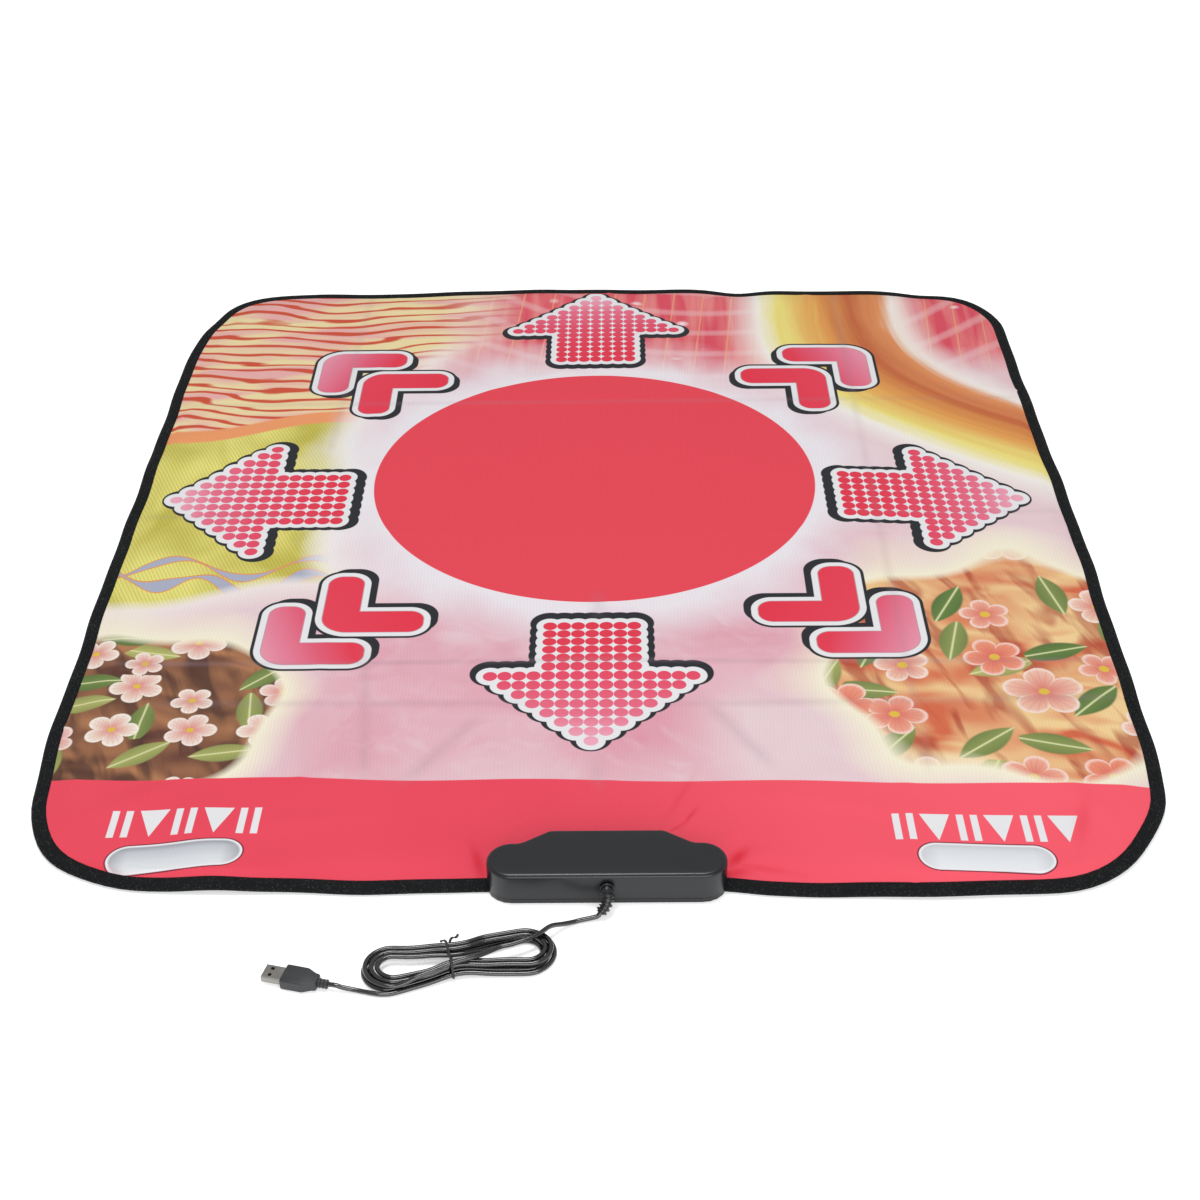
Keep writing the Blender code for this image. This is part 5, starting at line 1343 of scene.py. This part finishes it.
def drawGround(m, x, y, fromDisc):
    # pink clouds, paler to the sides and the front, with the sky, cloths, ribbon and gardens
    cloud = m.noise(6.5, 3.0, 0.5, 0.8)
    paler = abs(x).above(215, 90).most((y + 335).below(0, 60) * 0.6)
    paler = paler.most(x.above(85, 60) * (y + 245).below(0, 50))
    skyEdge = y + (x * 0.013).sine() * 26 + (cloud - 0.5) * 90
    colour = m.painted(
        (228, 182, 194), (cloud.above(0.5, 0.3), (222, 148, 166)),
        (m.noise(17.0, 3.0, 0.55, 1.6).above(0.60, 0.2) * 0.35, (234, 208, 214)),
        (paler * 0.8, (232, 212, 216)), (skyEdge.above(262, 80), skyColour(m, x, y)),
    )
    colour = drawCloths(m, x, y, fromDisc, colour)
    colour = drawRibbon(m, x, y, colour)
    for garden in gardens:
        colour = drawGarden(m, x, y, garden, colour)
    return colour


signLook = {"barAside": 4.9, "barHalf": 2.5, "slant": 1.35, "reach": 7.2}


def drawSigns(m, x, y, under):
    # rows of plain signs: a pair of bars, then a triangle, in turn
    look, colour = signLook, under
    for start, level, slope, count, pitch, size in signs:
        high = y - ((x - start) * slope + level)
        cell = (x - start) / pitch
        number = cell.floored()
        local = abs((cell - number - 0.5) * pitch)
        tooHigh = abs(high) - size / 2
        bars = (abs(local - look["barAside"]) - look["barHalf"]).most(tooHigh)
        triangle = (high * -0.5 + local * look["slant"] - look["reach"]).most(tooHigh)
        isBars = m.math("PINGPONG", number, 1.0).below(0.5, 0.01)
        shape = between(isBars, triangle, bars)
        row = cell.above(0, 0.01) * cell.below(count, 0.01)
        colour = m.mixed(shape.below(0, 0.5) * row, colour, white)
    return colour


def drawOvals(m, x, y, under):
    # a silver pad with a shaded rim, its darker side towards the box
    isRight = x.over(0)
    spotX, spotY, slope = (between(isRight, oval["left"][k], oval["right"][k]) for k in range(3))
    along = x - spotX
    local = abs(along) - (oval["halfLength"] - oval["halfWidth"])
    height = y - spotY - along * slope
    field = m.distance(local.most(0), height) - oval["halfWidth"]
    silver = m.ramp(
        height / 27 + 0.5, (0.0, (226, 228, 231)), (0.35, (216, 219, 223)),
        (0.75, (194, 197, 203)), (1.0, (142, 144, 154)),
    )
    silver = m.painted(
        silver, (local.above(6, 12) * 0.5, (120, 122, 130)), (isRight * 0.45, (240, 242, 246)),
    )
    return m.painted(
        under, (field.below(1.1, 0.6), (120, 40, 54)), (field.below(0, 0.6), (236, 234, 238)),
        (field.below(-1.8, 1.4), silver),
    )


# lines of painted shade along the folds' creases
foldShadeLines = [  # from x, y to x, y, width, depth
    (-380, -206, 380, -209, 5, 0.30), (-330, -258, -60, -260, 7, 0.26),
    (60, -262, 390, -258, 7, 0.24), (-182, -190, -168, -345, 7, 0.24),
    (0, -118, 0, -140, 9, 0.34), (0, -336, 2, -356, 9, 0.34),
    (-90, -280, -136, -350, 9, 0.30), (82, -258, 124, -330, 9, 0.30),
    (-400, 214, 400, 219, 6, 0.20), (-238, 460, -246, 120, 6, 0.18),
    (244, 460, 240, -340, 6, 0.20), (-400, 12, -225, 12, 6, 0.18), (220, 12, 400, 10, 6, 0.18),
]


def drawFoldShade(m, x, y, under):
    # painted shade of the creases: soft grey lines where the mat was folded away, each fading in
    # and out along its length
    shade = None
    for fromX, fromY, toX, toY, width, depth in foldShadeLines:
        runX, runY = toX - fromX, toY - fromY
        length, heading = math.hypot(runX, runY), math.degrees(math.atan2(runY, runX))
        along, aside = turned(x - fromX, y - fromY, heading)
        line = abs(aside).below(width / 2, width) * along.above(0, 30) * along.below(length, 30)
        shade = line * depth if shade is None else shade.most(line * depth)
    return m.mixed(shade * (m.noise(16.0, 3.0) * 1.4), under, (150, 128, 140))


# depth sets both the bump and the darker red of painted shade in each pull
puckers = [  # x, y, heading, half length, half width, depth
    (97, -437, 55, 11, 4.5, 1.0), (93, -451, 15, 12, 5.0, 0.8), (66, -394, 62, 12, 1.5, 0.6),
    (57, -405, 40, 9, 1.4, 0.5), (-80, -440, 105, 15, 3.5, 0.8), (110, -446, -12, 26, 3.0, 0.35),
    (-330, -450, -24, 30, 5.0, 0.45), (340, -400, 75, 24, 5.0, 0.3), (60, -371, 66, 24, 2.5, 0.25),
]


def drawPuckerShade(m, x, y, under):
    # small pulls in the red cloth, deepest where the box holds it: the greatest of some
    # bell shapes, as a darker red of painted shade in their hollows and as how deep each place is
    # pulled
    total = None
    for placeX, placeY, heading, long, wide, depth in puckers:
        u, v = turned(x - placeX, y - placeY, heading)
        u, v = u / long, v / wide
        bell = m.math("EXPONENT", (u * u + v * v) * -1) * depth
        total = bell if total is None else total.most(bell)
    return m.mixed(total * 0.75, under, (214, 22, 44)), total


clothTone = 0.90  # how much of its ink the cloth shows under the studio light


def clothFinish():
    # printed satin cloth with fine ribs
    m = Finish("printedCloth", Specular_IOR_Level=0.1)
    x, y = m.spot()
    fromDisc = m.distance(x - disc["x"], y - disc["y"])
    haze = m.noise(14.0, 2.0, 0.5, 0.5)
    halo = (fromDisc + (haze - 0.5) * 60).below(disc["radius"] + disc["halo"], 74)
    moire = (x + (fromDisc * 0.05).sine() * 2).wave(ribs["pitch"]) * 0.5 + 0.5
    droop = (x - 40).most(0) * band["droop"]
    edge = y - x * band["slope"] + droop + (x * 0.034).sine() * band["wave"]
    # the band's red turns lighter in soft patches and towards the right: painted light and shade of
    # the cloth's undulation
    tint = m.noise(7.0, 2.0) * 0.4 + x.above(120, 300) * 0.6
    colour = m.painted(
        drawGround(m, x, y, fromDisc), (halo * 0.92, (236, 234, 239)),
        (moire * ribs["depth"], (110, 100, 110)),
        (fromDisc.below(disc["radius"], 0.7), (229, 72, 86)),
        (edge.below(band["y"], 0.8), m.mixed(tint, (228, 68, 88), (250, 96, 112))),
    )
    # the last of these paints the shade along the folds' creases
    for draw in (drawArrows, drawChevrons, drawOvals, drawSigns, drawFoldShade):
        colour = draw(m, x, y, colour)
    # the pulls darken the red as painted shade, and their depth goes to the bump
    colour, pulled = drawPuckerShade(m, x, y, colour)
    tone = (clothTone, clothTone, clothTone, 1)
    gloss = m.noise(22.0, 3.0) * 0.14 + 0.5
    m.set(Base_Color=m.mixed(1.0, colour, tone, "MULTIPLY"), Roughness=gloss)
    rib = x.wave(ribs["pitch"]) * 0.5 + y.wave(1.9) * 0.25
    return m.bump(rib + m.noise(900.0, 2.0) * 1.2 - pulled * 12, 0.22, 0.0004).material


def tapeFinish():
    # black woven tape: a coarse two-way weave with small pale glints and lint
    m = Finish("wovenTape", Specular_IOR_Level=0.1)
    x, y = m.spot()
    weave = x.wave(1.7) * y.wave(1.7)
    grain = m.noise(1500.0, 2.0, 0.6)
    specks = m.cells(700.0).below(0.22, 0.2) * grain.above(0.52, 0.1)
    slow = m.noise(35.0, 3.0)
    colour = m.painted(
        (9, 11, 12), (slow, (20, 22, 23)), (weave.above(0.3, 0.9) * 0.35, (40, 43, 44)),
        (specks * 0.7, (104, 106, 108)),
    )
    m.set(Base_Color=colour, Roughness=grain * 0.2 + 0.62)
    return m.bump(weave * 0.6 + grain, 0.6, 0.0005).material


boxLook = {
    "shoulder": 0.0245, "bump": 0.0375, "bumpWidth": 0.078, "bumpFoot": 0.118,
    "frontRadius": 0.017, "shoulderRadius": 0.017, "bumpRadius": 0.009, "footRadius": 0.012,
    "wall": 0.0020, "edge": 0.0030, "seam": 0.0043, "overMat": 0.0062, "dome": 0.0005,
    "steps": 12, "lip": 0.0002, "matLip": 0.0006, "topMiddle": 0.012,
}


def boxOutline(inset):
    # straight front, round shoulders and a bump at the back, anticlockwise from above
    look, half = boxLook, box["width"] / 2
    right = [  # the corners on the right: x, y and radius
        (half, -box["overhang"], look["frontRadius"]),
        (half, look["shoulder"], look["shoulderRadius"]),
        (look["bumpFoot"] / 2, look["shoulder"], look["footRadius"]),
        (look["bumpWidth"] / 2, look["bump"], look["bumpRadius"]),
    ]
    left = [(-x, y, radius) for x, y, radius in right[::-1]]
    outline = roundedCorners(left[-1:] + right + left[:-1], look["steps"], -inset)
    return outline + (box["x"], frontEdge)


def makeUpperShell(material):
    # a hollow cap: walls with a round top edge, a slightly domed top and an open underside
    look, top = boxLook, box["height"]
    outer = boxOutline(0.0)
    onMat = smoothStep(outer[:, 1], frontEdge - look["matLip"], frontEdge)
    foot = look["seam"] + (look["overMat"] - look["seam"]) * onMat
    inner, edge = boxOutline(look["wall"]), look["edge"]
    rings = [atHeight(inner, top - look["wall"]), atHeight(inner, foot), atHeight(outer, foot)]
    rings.append(atHeight(outer, foot + look["lip"]))
    for angle in np.radians((0, 15, 30, 45, 60, 75, 90)):
        z = top - look["dome"] - edge * (1 - math.sin(angle))
        rings.append(atHeight(boxOutline(edge * (1 - math.cos(angle))), z))
    middle = np.array((box["x"], frontEdge + look["topMiddle"]))
    last = rings[-1][:, :2]
    for share in (0.85, 0.65, 0.45, 0.25, 0.1):
        rings.append(atHeight(middle + (last - middle) * share, top - look["dome"] * share**2))
    points, faces = lofted(rings)
    made = piece("upperShell", points, faces, material, sharp=50)
    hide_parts("upper_shell")


shellPlastic = plainFinish("shell", "boxPlastic", (15, 16, 19), (23, 25, 29), 0.26)
makeUpperShell(shellPlastic)
screwTones = ((150, 152, 156), (188, 190, 194), 0.28)
wireGloss = 0.34
looks = {  # by the first words of the nodes' names
    "shell_screw": ("steel", "screwSteel", *screwTones),
    "board_screw": ("steel", "boardScrewSteel", *screwTones),
    "plug_shell": ("steel", "plugSteel", (128, 126, 122), (158, 156, 151), 0.30),
    "crystal": ("steel", "crystalCan", (180, 182, 184), (208, 210, 212), 0.24),
    "plug_insert": ("moulded", "insertPlastic", (24, 25, 27), (42, 43, 46), 0.4),
    "plug_contact": ("steel", "contactGold", (206, 160, 76), (228, 190, 108), 0.22),
    "circuit_board": ("moulded", "boardLaminate", (28, 92, 58), (44, 120, 78), 0.32, 0.4),
    "controller_chip": ("moulded", "chipEpoxy", (24, 24, 26), (40, 40, 43), 0.5),
    "capacitor": ("moulded", "capacitorSleeve", (30, 34, 66), (46, 52, 92), 0.3),
    "ribbon_tail": ("moulded", "tailFilm", (150, 156, 160), (188, 192, 196), 0.26),
    "tail_pressure_pad": ("moulded", "padRubber", (54, 54, 56), (80, 80, 82), 0.7),
    "wire_power": ("moulded", "redWire", (176, 28, 30), (206, 48, 46), wireGloss),
    "wire_data_minus": ("moulded", "whiteWire", (214, 214, 208), (236, 236, 230), wireGloss),
    "wire_data_plus": ("moulded", "greenWire", (30, 120, 60), (48, 148, 80), wireGloss),
    "wire_ground": ("moulded", "blackWire", (22, 22, 24), (40, 40, 42), wireGloss),
}
finishes = {start: plainFinish(*look) for start, look in looks.items()}
finishes["lower_shell"] = shellPlastic
for node in frame["nodes"]:
    finish = next((finishes[name] for name in finishes if node.startswith(name)), None)
    for socket in frame["nodes"][node].material_slots if finish else ():
        socket.material = finish
print("control box and inner parts finished")


def gripFinish():
    # dark non-woven backing with rows of small raised rubber dots
    m = Finish("gripBacking", Specular_IOR_Level=0.3)
    x, y = m.spot()
    fibres = m.noise(700.0, 3.0, 0.7, 1.5)
    slow = m.noise(12.0, 3.0)
    dots = (x + y).wave(11.0) * (x - y).wave(11.0)
    dot = dots.above(0.55, 0.3)
    colour = m.painted(
        (52, 54, 58), (slow, (72, 74, 78)), (fibres.above(0.55, 0.2) * 0.5, (96, 98, 102)),
        (dot, (30, 31, 34)),
    )
    m.set(Base_Color=colour, Roughness=dot * -0.35 + 0.85)
    return m.bump(dot * 2 + fibres * 0.5, 0.5, 0.0006).material


def filmFinish():
    # clear-grey polyester film: faint waves and fine scuffs
    m = Finish("polyesterFilm", Coat_Weight=0.4)
    slow, scuff = m.noise(9.0, 3.0), m.noise(1.0, 3.0, at=m.stretched((900, 60, 60)))
    colour = m.mixed(slow, (176, 182, 186), (204, 209, 212))
    m.set(Base_Color=colour, Roughness=scuff.above(0.6, 0.1) * 0.2 + 0.16)
    return m.bump(slow, 0.3, 0.002).material


def foamFinish():
    # pale open-cell foam
    m = Finish("spacerFoam")
    pores, slow = m.cells(900.0), m.noise(14.0, 3.0)
    colour = m.mixed(slow, (196, 198, 196), (222, 223, 220))
    # the pores darker: painted shade in their hollows
    m.set(Base_Color=m.mixed(pores.below(0.2, 0.3), colour, (140, 142, 142)), Roughness=0.95)
    return m.bump(pores, 0.6, 0.0006).material


def inkedFinish(name, low, high, roughness, metal):
    # a screen-printed layer: the mesh's faint grid and uneven ink
    m = Finish(name, Metallic=metal)
    x, y = m.spot()
    mesh = x.wave(0.9) * y.wave(0.9)
    slow = m.noise(60.0, 3.0)
    m.set(Base_Color=m.mixed(slow, low, high), Roughness=mesh * 0.06 + roughness)
    return m.bump(mesh, 0.25, 0.0001).material


film, tape = filmFinish(), tapeFinish()
silverInk = inkedFinish("silverInk", (164, 166, 168), (196, 198, 200), 0.34, 0.8)
carbonInk = inkedFinish("carbonInk", (20, 21, 23), (36, 37, 39), 0.55, 0.0)
makeCloth(clothFinish())
makeBacking(gripFinish())
makeBinding(tape)
for name, slot, layer in (
    ("lower_film", "film", film), ("lower_circuit", "silver_print", silverInk),
    ("foam_spacer", "foam", foamFinish()), ("upper_film", "film", film),
):
    liftedCopy(name, "mat", layer)
for name in zoneNames:
    liftedCopy("contact_" + name, name, carbonInk)
print("mat's cloths, films and binding made")


floor = {"reach": 6.0, "gap": 0.0002, "glow": 0.4}


def makeFloor():
    # one wide pale sheet, a hair under the whole thing so that no two faces lie in one plane
    reach, z = floor["reach"], -floor["gap"]
    mesh = bpy.data.meshes.new("floor")
    corners = [(-reach, -reach, z), (reach, -reach, z), (reach, reach, z), (-reach, reach, z)]
    mesh.from_pydata(corners, [], [(0, 1, 2, 3)])
    finish = Finish(
        "floorPaper", Base_Color=(0.97, 0.97, 0.97, 1), Roughness=0.9, Specular_IOR_Level=0.1,
        Emission_Color=(1, 1, 1, 1), Emission_Strength=floor["glow"],
    )
    mesh.materials.append(finish.material)
    placed("floor", mesh)


studio = {
    "world": 0.50,  # how bright the white surroundings are
    "lights": {  # place, aim, width and height, watts
        "front": ((0.4, -2.6, 1.1), (0, -0.2, 0), (2.6, 1.0), 30),
        "strip": ((-0.1, -0.1, 2.2), (0, -0.2, 0), (1.2, 0.5), 24),
    },
}


def makeLights():
    # soft lamps, each turned to its aim, in white surroundings
    for name, (place, aim, size, power) in studio["lights"].items():
        data = bpy.data.lights.new(name, "AREA")
        data.shape, data.size, data.size_y, data.energy = "RECTANGLE", *size, power
        turn = (Vector(aim) - Vector(place)).to_track_quat("-Z", "Y")
        lamp = placed(name, data)
        lamp.matrix_world = Matrix.Translation(place) @ turn.to_matrix().to_4x4()
    world = bpy.data.worlds.new("studio")
    world.use_nodes = True
    background = world.node_tree.nodes["Background"]
    background.inputs["Color"].default_value = (1, 1, 1, 1)
    background.inputs["Strength"].default_value = studio["world"]
    bpy.context.scene.world = world
    bpy.context.scene.view_settings.view_transform = "Standard"


makeFloor()
makeLights()
print("floor and lights made")
